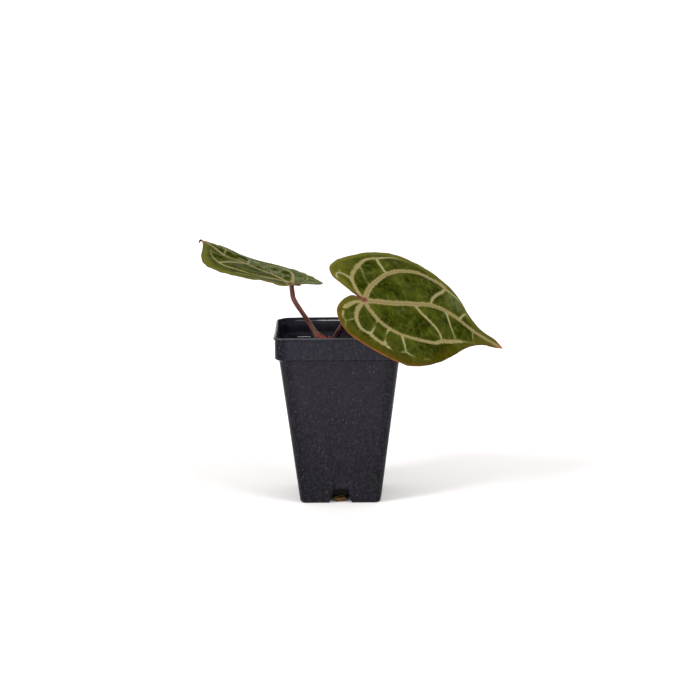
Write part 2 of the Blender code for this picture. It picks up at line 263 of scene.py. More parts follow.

# Veins: half width at the start and the end, how brown the middle is (below 0: how far it is painted pale
# grey-green instead, a painted sheen on the vein), and points as (along, across)
RIGHT_VEINS = (
    (1.45, 1.08, 1.0, (
        (-0.5, 0), (6, -0.3), (12, -0.6), (18, -0.2), (23, 0.7), (28, 1.3), (33, 2.6), (37.5, 3.2),
        (41, 3.2), (44.5, 3), (48, 2.1), (52, 1.4))),
    (1.08, 0.56, 0.9, (
        (51.5, 1.5), (55.5, 0.3), (59, -0.7), (62.5, -1.5), (66, -1.8), (70.5, -1.5), (75, -0.9),
        (80.5, 0.1), (85, 1.3))),
    (1.15, 1.05, 0.9, (
        (0, 0), (2.6, 5.4), (4.9, 9), (7.5, 12), (10.6, 15.1), (13.4, 17.7), (16.1, 19.9), (19.3, 21.6),
        (22.9, 23.2), (26.8, 24), (30.7, 24.6), (34, 24.7), (37, 23.8), (40, 22.7), (43.4, 21.5),
        (46, 20.2), (48.3, 17.6))),
    (0.85, 0.22, 0.2, ((47.3, 18.6), (51, 17), (53, 16), (55.2, 15), (57, 13), (58, 11))),
    (0.95, 0.8, 0.8, (
        (0, 0), (1.2, -5.1), (2.5, -7.6), (3.6, -10.1), (5.1, -12.6), (6.9, -14.7), (8.6, -16.4),
        (10.7, -17.9), (13.5, -19.3), (16.6, -20.4), (20.4, -20.9), (24, -21.2), (28, -21.3))),
    (0.78, 1.05, 0.4, (
        (27, -21.3), (31.8, -21), (35.7, -20.5), (38.2, -19.6), (41, -17.9), (44.5, -16.7), (48, -15.6))),
    (1.1, 0.5, 0.3, ((47.5, -15.8), (50.5, -14.3), (54.2, -12.9), (56.5, -12))),
    (0.4, 0.15, 0.2, ((55.5, -12.4), (58, -11.4), (61, -10.4), (65, -9))),
    (0.65, 0.95, 0.35, (
        (-1, 2), (-2.4, 6.7), (-3.1, 10.4), (-3.4, 13.2), (-3.1, 16.2), (-1.7, 19.6), (0.1, 22.6),
        (2.2, 25.2))),
    (1.0, 0.72, 0.4, ((2, 25), (4.2, 27.7), (6.4, 29.9), (8.9, 31.4), (11, 32), (14.7, 32.4))),
    (0.7, 0.16, 0.1, (
        (14, 32.3), (17.3, 33.2), (20, 33.7), (22.4, 34), (24.1, 33.6), (26, 33.1), (30, 31.8))),
    (0.6, 0.45, 0.0, (
        (-3.3, 13.8), (-4.2, 16), (-5.2, 17.4), (-6.4, 18.9), (-7.9, 20), (-9.4, 20.2), (-10.5, 18.5),
        (-10.2, 15.5))),
    (0.4, 0.2, 0.0, ((-7.9, 20), (-8.2, 22.3), (-7.8, 24))),
    (0.42, 0.15, 0.0, ((2.8, 25.7), (3.5, 22.4), (3.5, 19), (3.4, 16.1), (3.8, 13.9))),
    (0.3, 0.45, 0.1, ((4.6, 12), (4.5, 10.5), (4.2, 8.5))),
    (0.62, 0.55, 0.1, ((13.7, 32), (13.9, 27.7), (14.5, 25.2), (15, 22.3), (15.8, 20.4))),
    (0.58, 0.72, 0.4, ((37.1, 4.5), (38.2, 7.3), (39.8, 9.6), (42.3, 12.3), (45, 14.8), (47.4, 17.8))),
    (0.6, 0.5, 0.1, ((54.6, 1.5), (57.3, 5.2), (59.4, 7.5))),
    (0.35, 0.2, 0.0, ((59.2, 7.2), (60.4, 5.6), (61.6, 4.4))),
    (0.75, 0.6, 0.2, (
        (27, 1), (28.7, -1.6), (30.2, -3.5), (32.3, -5.4), (34.4, -7), (36.3, -8.8), (38.3, -10.6),
        (39.8, -12.6), (40.7, -14.4), (41.2, -17))),
    (0.6, 0.36, 0.1, (
        (45.2, 2.6), (46.4, 0.3), (47.2, -2.8), (48.1, -5.9), (49, -8.3), (50, -10.8), (51, -13.8))),
    (0.42, 0.22, 0.0, ((63.5, -1.8), (63.5, -5), (63.8, -8.6))),
    (1.0, 0.66, 0.45, (
        (-1.5, -1.5), (-4.2, -5.2), (-5.5, -8), (-6.4, -10.8), (-6.5, -13.7), (-6, -16.4), (-5.2, -18.3),
        (-3.6, -20))),
    (0.62, 0.95, 0.3, ((-4, -19.7), (-1.6, -21.3), (-0.2, -23.2), (1.6, -25.2), (3.6, -26.7), (5.7, -28))),
    (0.95, 0.12, 0.2, ((5.4, -27.8), (7.3, -29.7), (8.8, -31.2))),
    (0.7, 1.2, 0.3, ((-2, -0.6), (-5, -1), (-7.8, -2.4), (-9.9, -3.8), (-11.3, -4.7))),
    (0.4, 0.2, 0.0, ((-6.5, -11.9), (-9.2, -12.6), (-11, -13.1), (-12.5, -13.3))),
    (0.22, 0.62, 0.0, ((-11.8, -13.4), (-12.9, -12.6), (-13.2, -11), (-13, -9.2), (-12.2, -7))),
    (0.32, 0.15, 0.0, ((-12.4, -13.2), (-13, -16), (-13.2, -18.5))),
    (0.3, 0.15, 0.0, ((-5.4, -18), (-6.8, -20))),
    (0.65, 0.16, 0.1, ((-1.5, -21.4), (0.2, -19.6), (1.5, -17.6), (2.6, -15.4))),
    (0.5, 0.16, 0.1, ((4.2, -12.4), (3.6, -13.8), (2.9, -15))),
    (0.6, 0.35, 0.0, ((10.3, -17), (8.6, -18.9), (7.2, -21.2))),
    (0.2, 0.22, 0.0, ((7.3, -21), (6.5, -23), (5.9, -25))),
    (0.2, 1.0, 0.1, ((6, -24.2), (5.6, -26), (5.4, -28))),
    (0.68, 0.42, 0.1, ((16.3, -20.8), (16.4, -24), (16.6, -27.5), (16.5, -30.6))),
    (0.4, 0.2, 0.0, ((16.6, -30.4), (13.2, -31.6))),
    (0.5, 0.25, 0.0, ((16.5, -30.4), (17.9, -31.4), (19.7, -32.3), (22, -32.9))),
    (0.16, 0.28, 0.0, ((27, -32.9), (31.5, -31.8))),
)
LEFT_VEINS = (
    (1.7, 0.7, 0.7, (
        (-0.5, 0), (4, 0.8), (8, 0), (12, -1.1), (16, -0.8), (20, -0.4), (24, -0.8), (28, -0.8),
        (31, -0.2), (34, 1.4), (37, 2.7), (40, 2.6), (43, 1.2), (46, -0.4), (49, -1.4), (52, -1.5),
        (54.5, -1))),
    (1.3, 0.2, 0.4, (
        (0, 0), (3, 5), (6, 9.5), (9, 13.5), (12, 16.8), (15, 18.5), (18, 19), (21, 19), (24, 19.1),
        (27, 19.5), (30, 19.5), (33, 18.6), (36, 17), (39, 15), (42, 12), (44.5, 8.6), (46.2, 5))),
    (1.0, 0.42, 0.2, (
        (-0.5, 1.5), (2.3, 7.5), (5, 11.5), (7, 15.5), (9, 19.5), (11.5, 23), (15, 25), (20, 25.8))),
    (0.5, 0.3, 0.0, ((-1, 8.5), (-3.5, 12), (-4.5, 15.5))),
    (0.62, 0.55, 0.0, ((33.5, 18), (32.3, 13.2), (31.3, 9.5), (30.2, 5), (28.8, 1), (28, -0.5))),
    (0.35, 0.35, 0.0, ((45, 8), (42.3, 7.6), (40, 6.4), (38.6, 3.4))),
    (0.92, 0.45, 0.4, (
        (0, 0), (1.5, -3.5), (3.6, -8.5), (6.3, -13.8), (9.5, -18.2), (13, -21), (17, -22), (21, -21.6),
        (25, -20.2))),
    (0.5, 0.4, 0.1, ((24, -20.6), (29, -18.2), (35, -15.2), (41, -13.6), (46.5, -13.2), (50, -9))),
    (0.7, 0.4, -0.8, ((27.3, -1), (28.8, -5), (30.5, -9.5), (32, -13), (33.2, -17))),
    (0.4, 0.34, -0.1, ((39.5, 2.4), (40.8, 0.2), (43.2, -5.4), (45.4, -10), (47, -13.5))),
    (0.12, 0.42, -0.1, ((-0.5, -1), (-1.2, -5), (-1.4, -8.4), (-1.2, -12), (-0.5, -16))),
    (0.42, 0.2, -0.1, ((-0.6, -15.4), (-0.2, -17.6), (1.2, -20), (4, -22.2), (8, -23.4), (13, -24.6))),
    (0.4, 0.2, -0.5, ((-0.9, -14.5), (-3, -15.5), (-5, -17))),
    (0.5, 0.4, -0.8, ((8.2, -16.5), (5, -13.5), (2.8, -15.1), (1, -18))),
    (0.48, 0.4, -1.0, ((26.5, -1), (25, -5.5), (22.5, -9), (22.8, -13.5), (23.6, -18.5))),
    (0.48, 0.4, -1.0, ((22.5, -9), (19, -10), (16.7, -8), (14.5, -5), (13.8, -1))),
    (0.48, 0.4, -1.0, ((16.7, -8), (14, -11.5), (11.5, -11), (8.5, -7), (7.5, -3))),
    (0.48, 0.4, -1.0, ((23, -14), (19, -15), (16.5, -17), (14.8, -21))),
    (0.45, 0.35, -1.0, ((14, -11.5), (14, -14.5), (16.5, -17))),
)
VEIN_STEP = 0.3
RIGHT_VEIN_SHIFT = -0.4

# Relief of the blades
VEIN_GROOVE = 0.2
RIM_WAVE = 0.45
RIM_WAVE_LENGTH = 9.0
RIM_WAVE_REACH = 8.0
RIM_CREEP = 0.35
RUFFLE_LENGTH = 3.2
RUFFLE_REACH = 4.0
LUMP_HEIGHT = 0.12
LUMP_SIZE = 2.6
RIB_WIDTH_SHARE = 0.5
RIB_FLATNESS = 0.6
RIB_COVER = 0.15
RIB_SIDES = 8
RIB_STEP = 0.7

# Withered, hooked end of the left leaf: how far onward and how far down from the blade's tip
WITHERED_HOOK = ((-1.2, 0), (0, 0), (0.7, 0.2), (1.1, 0.8), (1.5, 1.5), (2.1, 1.9))
TIP_RINGS = 40
TIP_SIDES = 14

# Papery scales round the crown: centre, radius, foot, angles, heights of the top from end to end, width
OUTER_SCALE = ((-6.5, 0.4), 4.6, 74.6, (-152.0, -72.0), (84.2, 83.8, 83.1, 82.4, 81.8, 81.3, 81.0), 6.4)
INNER_SCALE = ((-6.4, 0.3), 4.1, 75.2, (-150.0, -64.0), (84.7, 84.3, 83.8, 83.1, 82.3, 81.6, 81.0), 5.8)
RIGHT_SCALE = ((-2.6, -1.2), 2.1, 75.6, (-190.0, -60.0), (82.0, 82.4, 82.1, 82.5, 81.9), 4.8)
SHEATH_MIDDLE_THICKNESS = 0.5
SHEATH_RIM_THICKNESS = 0.16
SCALE_COLUMNS = 80
SCALE_ROWS = 60
SCALE_CLIMB = 8.0


def srgb(red, green, blue, light=1.0):
    """Linear colour of a 0 to 255 screen colour, divided by the light that falls on it."""
    def linear(value):
        value /= 255
        return value / 12.92 if value <= 0.04045 else ((value + 0.055) / 1.055) ** 2.4

    return tuple(linear(value) / light for value in (red, green, blue))


def smooth(value, low=0.0, high=1.0):
    """0 at low, 1 at high and an easy slope between, for numpy arrays."""
    share = np.clip((value - low) / (high - low), 0, 1)
    return share * share * (3 - 2 * share)


class Shade:
    """A number, colour or place at each point of a surface: one output of its look's nodes."""

    def __init__(self, look, socket):
        self.look, self.socket = look, socket

    def math(self, operation, other=0.0):
        return self.look.shade("ShaderNodeMath", {0: self, 1: other}, operation=operation)

    def __add__(self, other):
        return self.math("ADD", other)

    def __sub__(self, other):
        return self.math("SUBTRACT", other)

    def __rsub__(self, other):
        return self.look.shade("ShaderNodeMath", {0: other, 1: self}, operation="SUBTRACT")

    def __mul__(self, other):
        return self.math("MULTIPLY", other)

    def __abs__(self):
        return self.math("ABSOLUTE")

    def step(self, low, high, start=0.0, end=1.0):
        """From start at low to end at high, with an easy slope. Low may be the larger."""
        inputs = {"Value": self, "From Min": low, "From Max": high, "To Min": start, "To Max": end}
        return self.look.shade("ShaderNodeMapRange", inputs, interpolation_type="SMOOTHSTEP")

    def mix(self, first, second):
        """The first colour where this is 0, and the second where it is 1."""
        inputs = {0: self, 6: self.look.colour(first), 7: self.look.colour(second)}
        return self.look.shade("ShaderNodeMix", inputs, 2, data_type="RGBA")

    def vector(self, operation, other, output=0):
        return self.look.shade("ShaderNodeVectorMath", {0: self, 1: other}, output, operation=operation)

    def scaled(self, x, y, z):
        return self.vector("MULTIPLY", (x, y, z))

    def split(self, kind="XYZ"):
        """The three numbers in a place, or in a colour."""
        parts = self.look.node("ShaderNodeSeparate" + kind, {0: self}).outputs
        return [Shade(self.look, part) for part in parts]

    def noise(self, size, detail=3.0, roughness=0.55, distortion=0.0, output="Fac"):
        inputs = {"Vector": self, "Scale": 1 / size, "Detail": detail, "Roughness": roughness}
        return self.look.shade("ShaderNodeTexNoise", {**inputs, "Distortion": distortion}, output)

    def cells(self, size, feature="F1", output="Distance"):
        inputs = {"Vector": self, "Scale": 1 / size}
        return self.look.shade("ShaderNodeTexVoronoi", inputs, output, feature=feature)

    def net(self, size, width, lump, push):
        """Thin lines between cells, whose places are pushed about by up to half of push."""
        shift = self.noise(lump, 2.0, 0.5, output="Color").vector("SUBTRACT", (0.5, 0.5, 0.5))
        places = self.vector("ADD", shift.scaled(push, push, push))
        return places.cells(size, "DISTANCE_TO_EDGE").step(width, 0.0)


class Look:
    """A procedural material, built node by node.

    Its colours are 0 to 255 screen colours, each divided by light or by a fourth number of its own. Without
    light they are linear.
    """

    def __init__(self, name, light=None, **values):
        self.material = bpy.data.materials.new(name)
        self.material.use_nodes = True
        self.tree = self.material.node_tree
        self.inputs = self.tree.nodes["Principled BSDF"].inputs
        self.light = light
        self.set(**values)

    def put(self, socket, value):
        if isinstance(value, Shade):
            self.tree.links.new(value.socket, socket)
        else:
            socket.default_value = (*value, 1.0) if socket.type == "RGBA" else value

    def set(self, **values):
        for name, value in values.items():
            self.put(self.inputs[name.replace("_", " ")], value)

    def node(self, kind, inputs=(), **settings):
        made = self.tree.nodes.new(kind)
        for setting, value in settings.items():
            setattr(made, setting, value)
        for key, value in dict(inputs).items():
            self.put(made.inputs[key], value)
        return made

    def shade(self, kind, inputs=(), output=0, **settings):
        return Shade(self, self.node(kind, inputs, **settings).outputs[output])

    def fields(self, names):
        return [self.shade("ShaderNodeAttribute", (), "Fac", attribute_name=name) for name in names.split()]

    def places(self, name):
        return self.shade("ShaderNodeAttribute", (), "Vector", attribute_name=name)

    def own_place(self):
        """The point's own place in the model, in millimetres."""
        return self.shade("ShaderNodeTexCoord", (), "Object").scaled(1000, 1000, 1000)

    def colour(self, value):
        if isinstance(value, Shade) or not self.light:
            return value
        return srgb(*value, self.light) if len(value) == 3 else srgb(*value)

    def bump(self, height, depth):
        """Dents of that many millimetres where height goes from 0 to 1, on top of the dents before."""
        inputs, normal = {"Height": height, "Distance": depth * MM, "Strength": 1.0}, self.inputs["Normal"]
        if normal.is_linked:
            inputs["Normal"] = Shade(self, normal.links[0].from_socket)
        self.put(normal, self.shade("ShaderNodeBump", inputs))

    def finished(self, colour, **values):
        self.set(Base_Color=colour, **values)
        return self.material


def leaf_look(name, tip_colour, low_margin, shaded):
    """Dark velvet between cream veins, olive toward the margin, wine red at the joint, paler underneath.

    Low_margin is the margin's colour on the leaf's low side. Shaded is how much darker its dim spots are.
    """
    look = Look(name, LEAF_LIGHT, IOR=1.11)
    flat = look.places("flat")
    along, across, _ = flat.split()
    edge, width, run, core, vein_sheen_share = look.fields("vein_edge vein_width vein_run vein_core vein_frost")
    rim, joint, under, red_rim, tip, dim, frost = look.fields("rim joint under red_rim tip dim frost")
    patches = flat.noise(9.0, 2.0, 0.4, 0.3)
    streaks = flat.scaled(1.0, 0.6, 1.0).noise(2.4, 3.0, 0.6)
    grit = flat.noise(0.75, 2.0, 0.6)

    # Fine barbs make the veins' edges ragged
    barbs = look.shade("ShaderNodeCombineXYZ", {0: run, 1: edge * 0.3, 2: width}).noise(0.9, 3.0, 0.65)
    reach = barbs.step(0.45, 0.75) * width.step(0.3, 1.1).step(0.0, 1.0, 0.2, 0.7)
    ragged = edge - reach + flat.noise(0.8).step(0.3, 0.7, -0.22, 0.22)

    # Velvet with a faint net of small veins
    tone = patches.step(0.3, 0.7, 0.08, 0.56) + edge.step(0.2, 4.0) * 0.12
    tone = tone + streaks.step(0.32, 0.7, -0.08, 0.14) - dim * shaded
    fine = flat.net(2.6, 0.12, 2.5, 3.0)
    net = flat.net(7.0, 0.13, 6.0, 7.0) * 0.2 + fine * 0.1
    green = tone.mix((36, 43, 2), (86, 92, 15))
    green = (net * streaks.step(0.35, 0.6, 0.2, 1.0)).mix(green, (118, 128, 60))

    # Olive margin and lobe, then rust near a red rim, grit, paler skin beside the veins and painted sheen
    margin = (rim + (patches - 0.5) * 7.0).step(across.step(-14.0, 8.0, 7.5, 5.0), 0.5, 0.0, 0.85)
    margin = margin.math("MAXIMUM", along.step(2.0, -9.0) * across.step(10.0, 17.0) * 0.42)
    pale_side = across.step(-32.0, 22.0, -0.25, 0.55) + streaks * 0.5
    pale_side = pale_side + along.step(8.0, -8.0) * across.step(5.0, 15.0) * 0.4
    green = margin.mix(green, pale_side.mix(low_margin, (118, 115, 36)))
    green = (rim.step(2.2, 0.1) * red_rim.step(0.2, 0.9, 0.0, 0.3)).mix(green, (142, 98, 30))
    green = grit.step(0.52, 0.75, 0.0, 0.3).mix(green, (104, 112, 44))
    green = (ragged.step(1.3, 0.0) * 0.25).mix(green, (108, 112, 40))
    # Painted sheen: pale netted patches painted where the velvet shines in grazing light
    painted_sheen_share = frost * streaks.step(0.35, 0.62, 0.25, 0.7) * edge.step(0.0, 1.5)
    green = (painted_sheen_share + painted_sheen_share * fine).mix(green, (128, 138, 96))

    # Cream veins, some with a brown middle and some painted pale grey-green and fainter as painted sheen
    cream = streaks.step(0.35, 0.65, 0.0, 0.7) + grit.step(0.35, 0.65, -0.3, 0.6)
    cream = cream.mix((152, 141, 86), (178, 165, 114))
    cream = width.step(0.9, 0.5).mix(cream, (172, 165, 118))
    cream = vein_sheen_share.mix(cream, (158, 166, 138))
    cream = (core * streaks.step(0.3, 0.6, 0.45, 0.9)).mix(cream, (146, 123, 86))
    shown = ragged.step(0.22, -0.22) * width.step(0.12, 0.62, 0.22, 0.96) * (1.0 - vein_sheen_share * 0.45)
    top = shown.mix(green, cream)

    below = patches.mix((108, 120, 62), (134, 142, 82))
    below = (net * 1.6).mix(below, (168, 168, 112))
    below = (edge.step(1.2, 0.0) * 0.5).mix(below, (168, 146, 98))
    skin = under.mix(top, below)

    wine = streaks.mix((92, 42, 38), (142, 86, 72))
    skin = (joint + (streaks - 0.5) * 3.0).step(2.3, 0.7).mix(skin, wine)
    skin = (rim.step(1.5, 0.5) * joint.step(10.0, 5.0)).mix(skin, wine)
    rim_line = (rim - red_rim * 0.2).step(0.45, 0.08) * streaks.step(0.3, 0.55, 0.5, 0.9)
    skin = rim_line.mix(skin, red_rim.mix((66, 50, 16), (158, 88, 52)))
    skin = (tip - rim * 0.5).step(0.1, 0.85).mix(skin, tip_colour)
    look.bump(flat.noise(0.45, 2.0), 0.05)
    look.bump(flat.noise(1.7), 0.12)
    satin = dim.step(0.05, 0.7, 0.25, 0.0)
    return look.finished(skin, Roughness=streaks.step(0.3, 0.7, 0.46, 0.64), Specular_IOR_Level=satin)


def stalk_look(name, foot_dark, foot_pale, foot_end):
    """Red-brown skin with fine lengthwise streaks, another tone up to foot_end and darker at the top."""
    look = Look(name, STALK_LIGHT, Specular_IOR_Level=0.3)
    skin, (along,) = look.places("skin"), look.fields("along")
    streaks = skin.scaled(1.0, 1.0, 0.09).noise(0.45, 3.0, 0.6)
    blotches = skin.scaled(1.0, 1.0, 0.4).noise(1.6)
    shares = streaks.step(0.35, 0.65)
    ragged = along + (blotches - 0.5) * 0.25
    foot = blotches.step(0.35, 0.65).mix(foot_dark, foot_pale)
    colour = ragged.step(foot_end, foot_end - 0.34).mix(shares.mix((84, 38, 34), (148, 92, 74)), foot)
    colour = ragged.step(0.68, 0.98).mix(colour, shares.mix((70, 28, 28), (124, 66, 58)))
    flecks = skin.scaled(1.0, 1.0, 0.5).cells(0.7).step(0.2, 0.08, 0.0, 0.35)
    look.bump(streaks, 0.12)
    look.bump(skin.noise(0.25, 2.0), 0.03)
    return look.finished(flecks.mix(colour, (188, 142, 118)), Roughness=blotches.step(0.3, 0.7, 0.34, 0.52))


def rib_look():
    """The raised veins under a blade: pale, and redder toward the stalk."""
    look = Look("leaf rib", STALK_LIGHT, Roughness=0.45, Specular_IOR_Level=0.3)
    streaks = look.places("skin").scaled(1.0, 1.0, 0.15).noise(0.6)
    red = (look.fields("joint")[0] + streaks * 8.0).step(20.0, 4.0)
    look.bump(streaks, 0.06)
    return look.finished(red.mix(streaks.mix((150, 148, 92), (178, 168, 116)), (140, 66, 62)))


def sheath_look(name, dark, pale):
    """Thin scale with darker veins along it, paler blotches and a dry edge with a painted highlight."""
    look = Look(name, CROWN_LIGHT, Roughness=0.5, Specular_IOR_Level=0.35)
    skin, (rim,) = look.places("skin"), look.fields("rim")
    veins = skin.scaled(1.0, 0.08, 1.0).noise(0.55, 2.0)
    blotches = skin.noise(1.8)
    colour = veins.step(0.38, 0.62).mix(dark, pale)
    colour = blotches.step(0.55, 0.75, 0.0, 0.25).mix(colour, (190, 110, 96))
    # The pale edge is partly the scale's dry rim and partly a painted highlight
    colour = (rim + blotches * 0.5).step(0.7, 0.3, 0.0, 0.6).mix(colour, (186, 98, 82))
    look.bump(veins, 0.12)
    return look.finished(colour)


def crown_look():
    """Green-brown stem with corky rings."""
    look = Look("crown stem", CROWN_LIGHT, Roughness=0.75, Specular_IOR_Level=0.3)
    skin = look.places("skin")
    fibres = skin.scaled(1.0, 1.0, 0.2).noise(0.6, 4.0)
    colour = fibres.step(0.35, 0.65).mix((70, 58, 30), (134, 116, 72))
    look.bump(fibres, 0.25)
    return look.finished(skin.noise(2.2).step(0.5, 0.7).mix(colour, (88, 56, 40)))


def withered_look():
    """Dry brown, with a short orange foot where it leaves the green."""
    look = Look("withered tip", 1.0, Roughness=0.8, Specular_IOR_Level=0.2)
    blotches = look.places("skin").noise(0.5)
    dry = blotches.mix((30, 24, 26), (62, 48, 42))
    look.bump(blotches, 0.1)
    return look.finished(look.fields("along")[0].step(0.22, 0.12).mix(dry, (196, 130, 90)))


def grain_look(name, dark, pale, size, roughness, depth, dust=0.0):
    """Stuff of the potting mix: each grain has its own shade between dark and pale, and finer blotches.

    Size is that of the blotches, and depth that of its dents. Dust is the strength of a grey coat on
    whatever lies low in the drain channels.
    """
    look = Look(name, 1.0, Roughness=roughness, Specular_IOR_Level=0.25)
    place = look.own_place()
    blotches = place.noise(size, 4.0, 0.65)
    tone = look.fields("shade")[0] * 0.6 + blotches.step(0.3, 0.7, 0.0, 0.45)
    _, _, height = place.split()
    paler_share = height.step(CHANNEL_TOP + 2.0, CHANNEL_TOP + 1.0, 0.0, dust)
    look.bump(blotches, depth)
    return look.finished(paler_share.mix(tone.mix(dark, pale), (72, 65, 66)))


def pot_look():
    """Charcoal plastic with a satin skin, fine pale flecks, short scuffs, painted light and highlights."""
    look = Look("pot plastic")
    place = look.own_place()
    x, y, height = place.split()
    sizes = abs(x), abs(y)
    facing = look.shade("ShaderNodeNewGeometry", (), "Normal")
    inner = place.scaled(1, 1, 0).vector("DOT_PRODUCT", facing, "Value").step(2.0, -8.0)
    cloud = place.scaled(1.0, 1.0, 0.5).noise(9.0)
    patchy = place.noise(2.5, 4.0)
    broken = place.noise(1.6, 3.0, 0.7)

    # Dark plastic, paler toward the top and the middle of each side, a brushed band and a paler inside
    least, most = sizes[0].math("MINIMUM", sizes[1]), sizes[0].math("MAXIMUM", sizes[1])
    aside = least.math("DIVIDE", most).step(0.68, 0.92, 1.0, 0.3)
    # Painted light: the plastic is painted paler toward the top, with random clouds of its own tone
    paler_share = height.step(0.0, 76.0, 0.1, 0.9) + cloud.step(0.3, 0.7, -0.15, 0.15)
    body = (paler_share * aside).mix((0.0008, 0.0002, 0.0030), (0.0088, 0.0068, 0.0132))
    flow = place.scaled(1.0, 1.0, 0.08).noise(1.4)
    body = flow.step(0.5, 0.75, 0.0, 0.35).mix(body, (0.0125, 0.0110, 0.0160))
    band = height.step(POT_BODY_TOP + 0.6, POT_BODY_TOP + 1.6) * aside * 0.9
    body = band.mix(body, (0.0056, 0.0060, 0.0135))
    brushed = place.scaled(1.0, 1.0, 0.3).noise(0.9, 3.0, 0.7)
    brushed = brushed.step(0.5, 0.72, 0.0, 0.95) * x.step(-24.0, 5.0, 0.3, 1.0)
    body = (band * brushed).mix(body, (0.0400, 0.0385, 0.0470))
    grain = place.scaled(1.0, 1.0, 0.7).noise(1.1, 2.0, 0.6)
    body = grain.step(0.4, 0.72, 0.0, 0.65).mix(body, (0.0215, 0.0200, 0.0265))
    # Painted light: the inside is painted paler than the outside, and lighter toward the right
    painted_inside_light = x.step(-19.0, -7.0).mix((0.0115, 0.0110, 0.0230), (0.0290, 0.0285, 0.0440))
    body = (inner * 0.8).mix(body, painted_inside_light)

    # Flecks of three sizes, and slanting scuffs
    for cell, rarity, size, shade in POT_FLECKS:
        chance = place.cells(cell, output="Color").split("Color")
        depth = chance[0].step(rarity, 1.0, 0.0, size) - place.cells(cell)
        fleck = depth.step(0.0, 0.06) * chance[1].step(0.0, 1.0, 0.2, 1.0)
        body = fleck.mix(body, (shade, shade, shade * 1.08))
    slant = {"Vector": place, "Angle": math.radians(38)}
    long = look.shade("ShaderNodeVectorRotate", slant, rotation_type="Y_AXIS").scaled(0.28, 1.0, 1.6)
    chance = long.cells(1.9, output="Color").split("Color")[2]
    scuff = long.cells(1.9).step(0.1, 0.03) * chance.step(0.82, 0.9, 0.0, 0.4)
    body = scuff.mix(body, (0.09, 0.09, 0.1))

    # Painted highlights on the lip's top edge, inside the left lip and on two lines inside the back wall
    corner = sizes[0].step(25.0, 32.0) * y.step(18.0, 30.0) * 0.9
    top = height - y.step(-12.0, 30.0, 0.0, POT_BACK_RISE) * (1.0 - corner)
    # A pale line painted along the lip's top edge, mostly at the front: a painted highlight
    painted_lip_line = (top + patchy.step(0.3, 0.7, -0.12, 0.12)).step(POT_HEIGHT - 0.85, POT_HEIGHT - 0.3, 0.0, 0.9)
    body = (painted_lip_line * y.step(-29.0, -20.0, 1.0, 0.12)).mix(body, (0.056, 0.054, 0.066))
    # The inside of the left lip is painted bright: a painted highlight
    left_lip_highlight = inner * top.step(POT_HEIGHT - 2.1, POT_HEIGHT - 1.1) * x.step(-30.2, -31.0)
    left_lip_highlight = left_lip_highlight * y.step(29.0, 24.0, 0.0, 0.9) * patchy.step(0.3, 0.5, 0.5, 1.0)
    body = left_lip_highlight.mix(body, (0.40, 0.40, 0.41))
    # Two broken bright lines inside the back wall, at its upper and lower ledges: painted highlights
    high = abs(top - (POT_HEIGHT - 1.6)).step(0.34, 0.2) * broken.step(0.36, 0.5, 0.5, 1.0)
    high = high * x.step(-13.0, -9.0, 0.16, 1.0) * x.step(-25.0, -21.0)
    low = abs(height - (POT_BODY_TOP + 2.95)).step(0.16, 0.08)
    low = low * abs(x + 18.8).step(3.7, 3.1) * broken.step(0.3, 0.5, 0.7, 1.0)
    body = (high.math("MAXIMUM", low) * inner * y.step(26.0, 28.0)).mix(body, (0.86, 0.87, 0.94))

    left_end = x.step(-24.0, -31.0) * height.step(POT_BODY_TOP, POT_BODY_TOP + 2.0)
    satin = aside.step(0.3, 1.0, 0.15, 0.2) * left_end.step(0.0, 1.0, 1.0, 0.55)
    satin = satin * height.step(0.0, 60.0, 0.82, 0.98)
    look.bump(place.noise(0.7, 2.0), 0.02)
    look.bump(cloud, 0.1)
    return look.finished(body, Roughness=cloud.step(0.3, 0.7, 0.24, 0.36), Specular_IOR_Level=satin)


def floor_look():
    """Plain white ground."""
    look = Look("studio floor", Roughness=0.6, Specular_IOR_Level=0.2)
    return look.finished(look.own_place().noise(40.0, 2.0).mix((0.90, 0.875, 0.87), (0.91, 0.885, 0.88)))


def spans(points):
    """Distances from each point of a line to the next."""
    return np.linalg.norm(np.diff(np.array(points, float), axis=0), axis=1)


def run_of(points):
    """How far along the line each of its points lies."""
    return np.concatenate([[0], np.cumsum(spans(points))])


def smooth_through(points, count):
    """Evenly spaced samples of a smooth curve that passes through the points."""
    points = np.array(points, float)
    padded = np.vstack([2 * points[0] - points[1], points, 2 * points[-1] - points[-2]])
    dense = []
    for i in range(1, len(padded) - 2):
        p0, p1, p2, p3 = padded[i - 1 : i + 3]
        square, cube = 2 * p0 - 5 * p1 + 4 * p2 - p3, 3 * p1 - p0 - 3 * p2 + p3
        for t in np.linspace(0, 1, CURVE_STEPS, endpoint=False):
            dense.append(0.5 * (2 * p1 + (p2 - p0) * t + square * t**2 + cube * t**3))
    dense = np.array(dense + [padded[-2]])
    along = run_of(dense)
    wanted = np.linspace(0, along[-1], count)
    return np.stack([np.interp(wanted, along, dense[:, k]) for k in range(points.shape[1])], axis=-1)


def ripple(points, size, shift=0.0):
    """Soft noise between about -1 and 1 at each point, for lumps of that size."""
    start = Vector((shift, -shift, shift))
    return np.array([noise.noise(Vector(point) / size + start) for point in points])


def placed(name, data):
    """A new object in the scene."""
    made = bpy.data.objects.new(name, data)
    bpy.context.scene.collection.objects.link(made)
    return made


def mesh_of(bm, name):
    mesh = bpy.data.meshes.new(name)
    bm.to_mesh(mesh)
    bm.free()
    return mesh


def modify(piece, kind, **settings):
    modifier = piece.modifiers.new(kind.lower(), kind)
    for setting, value in settings.items():
        setattr(modifier, setting, value)


def apply_modifiers(piece):
    """Turns the piece into its finished mesh."""
    finished = bpy.data.meshes.new_from_object(piece.evaluated_get(bpy.context.evaluated_depsgraph_get()))
    piece.modifiers.clear()
    piece.data = finished


def settle(piece, nodes=()):
    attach(piece, BODY)
    if nodes:
        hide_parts(*nodes)
    return piece


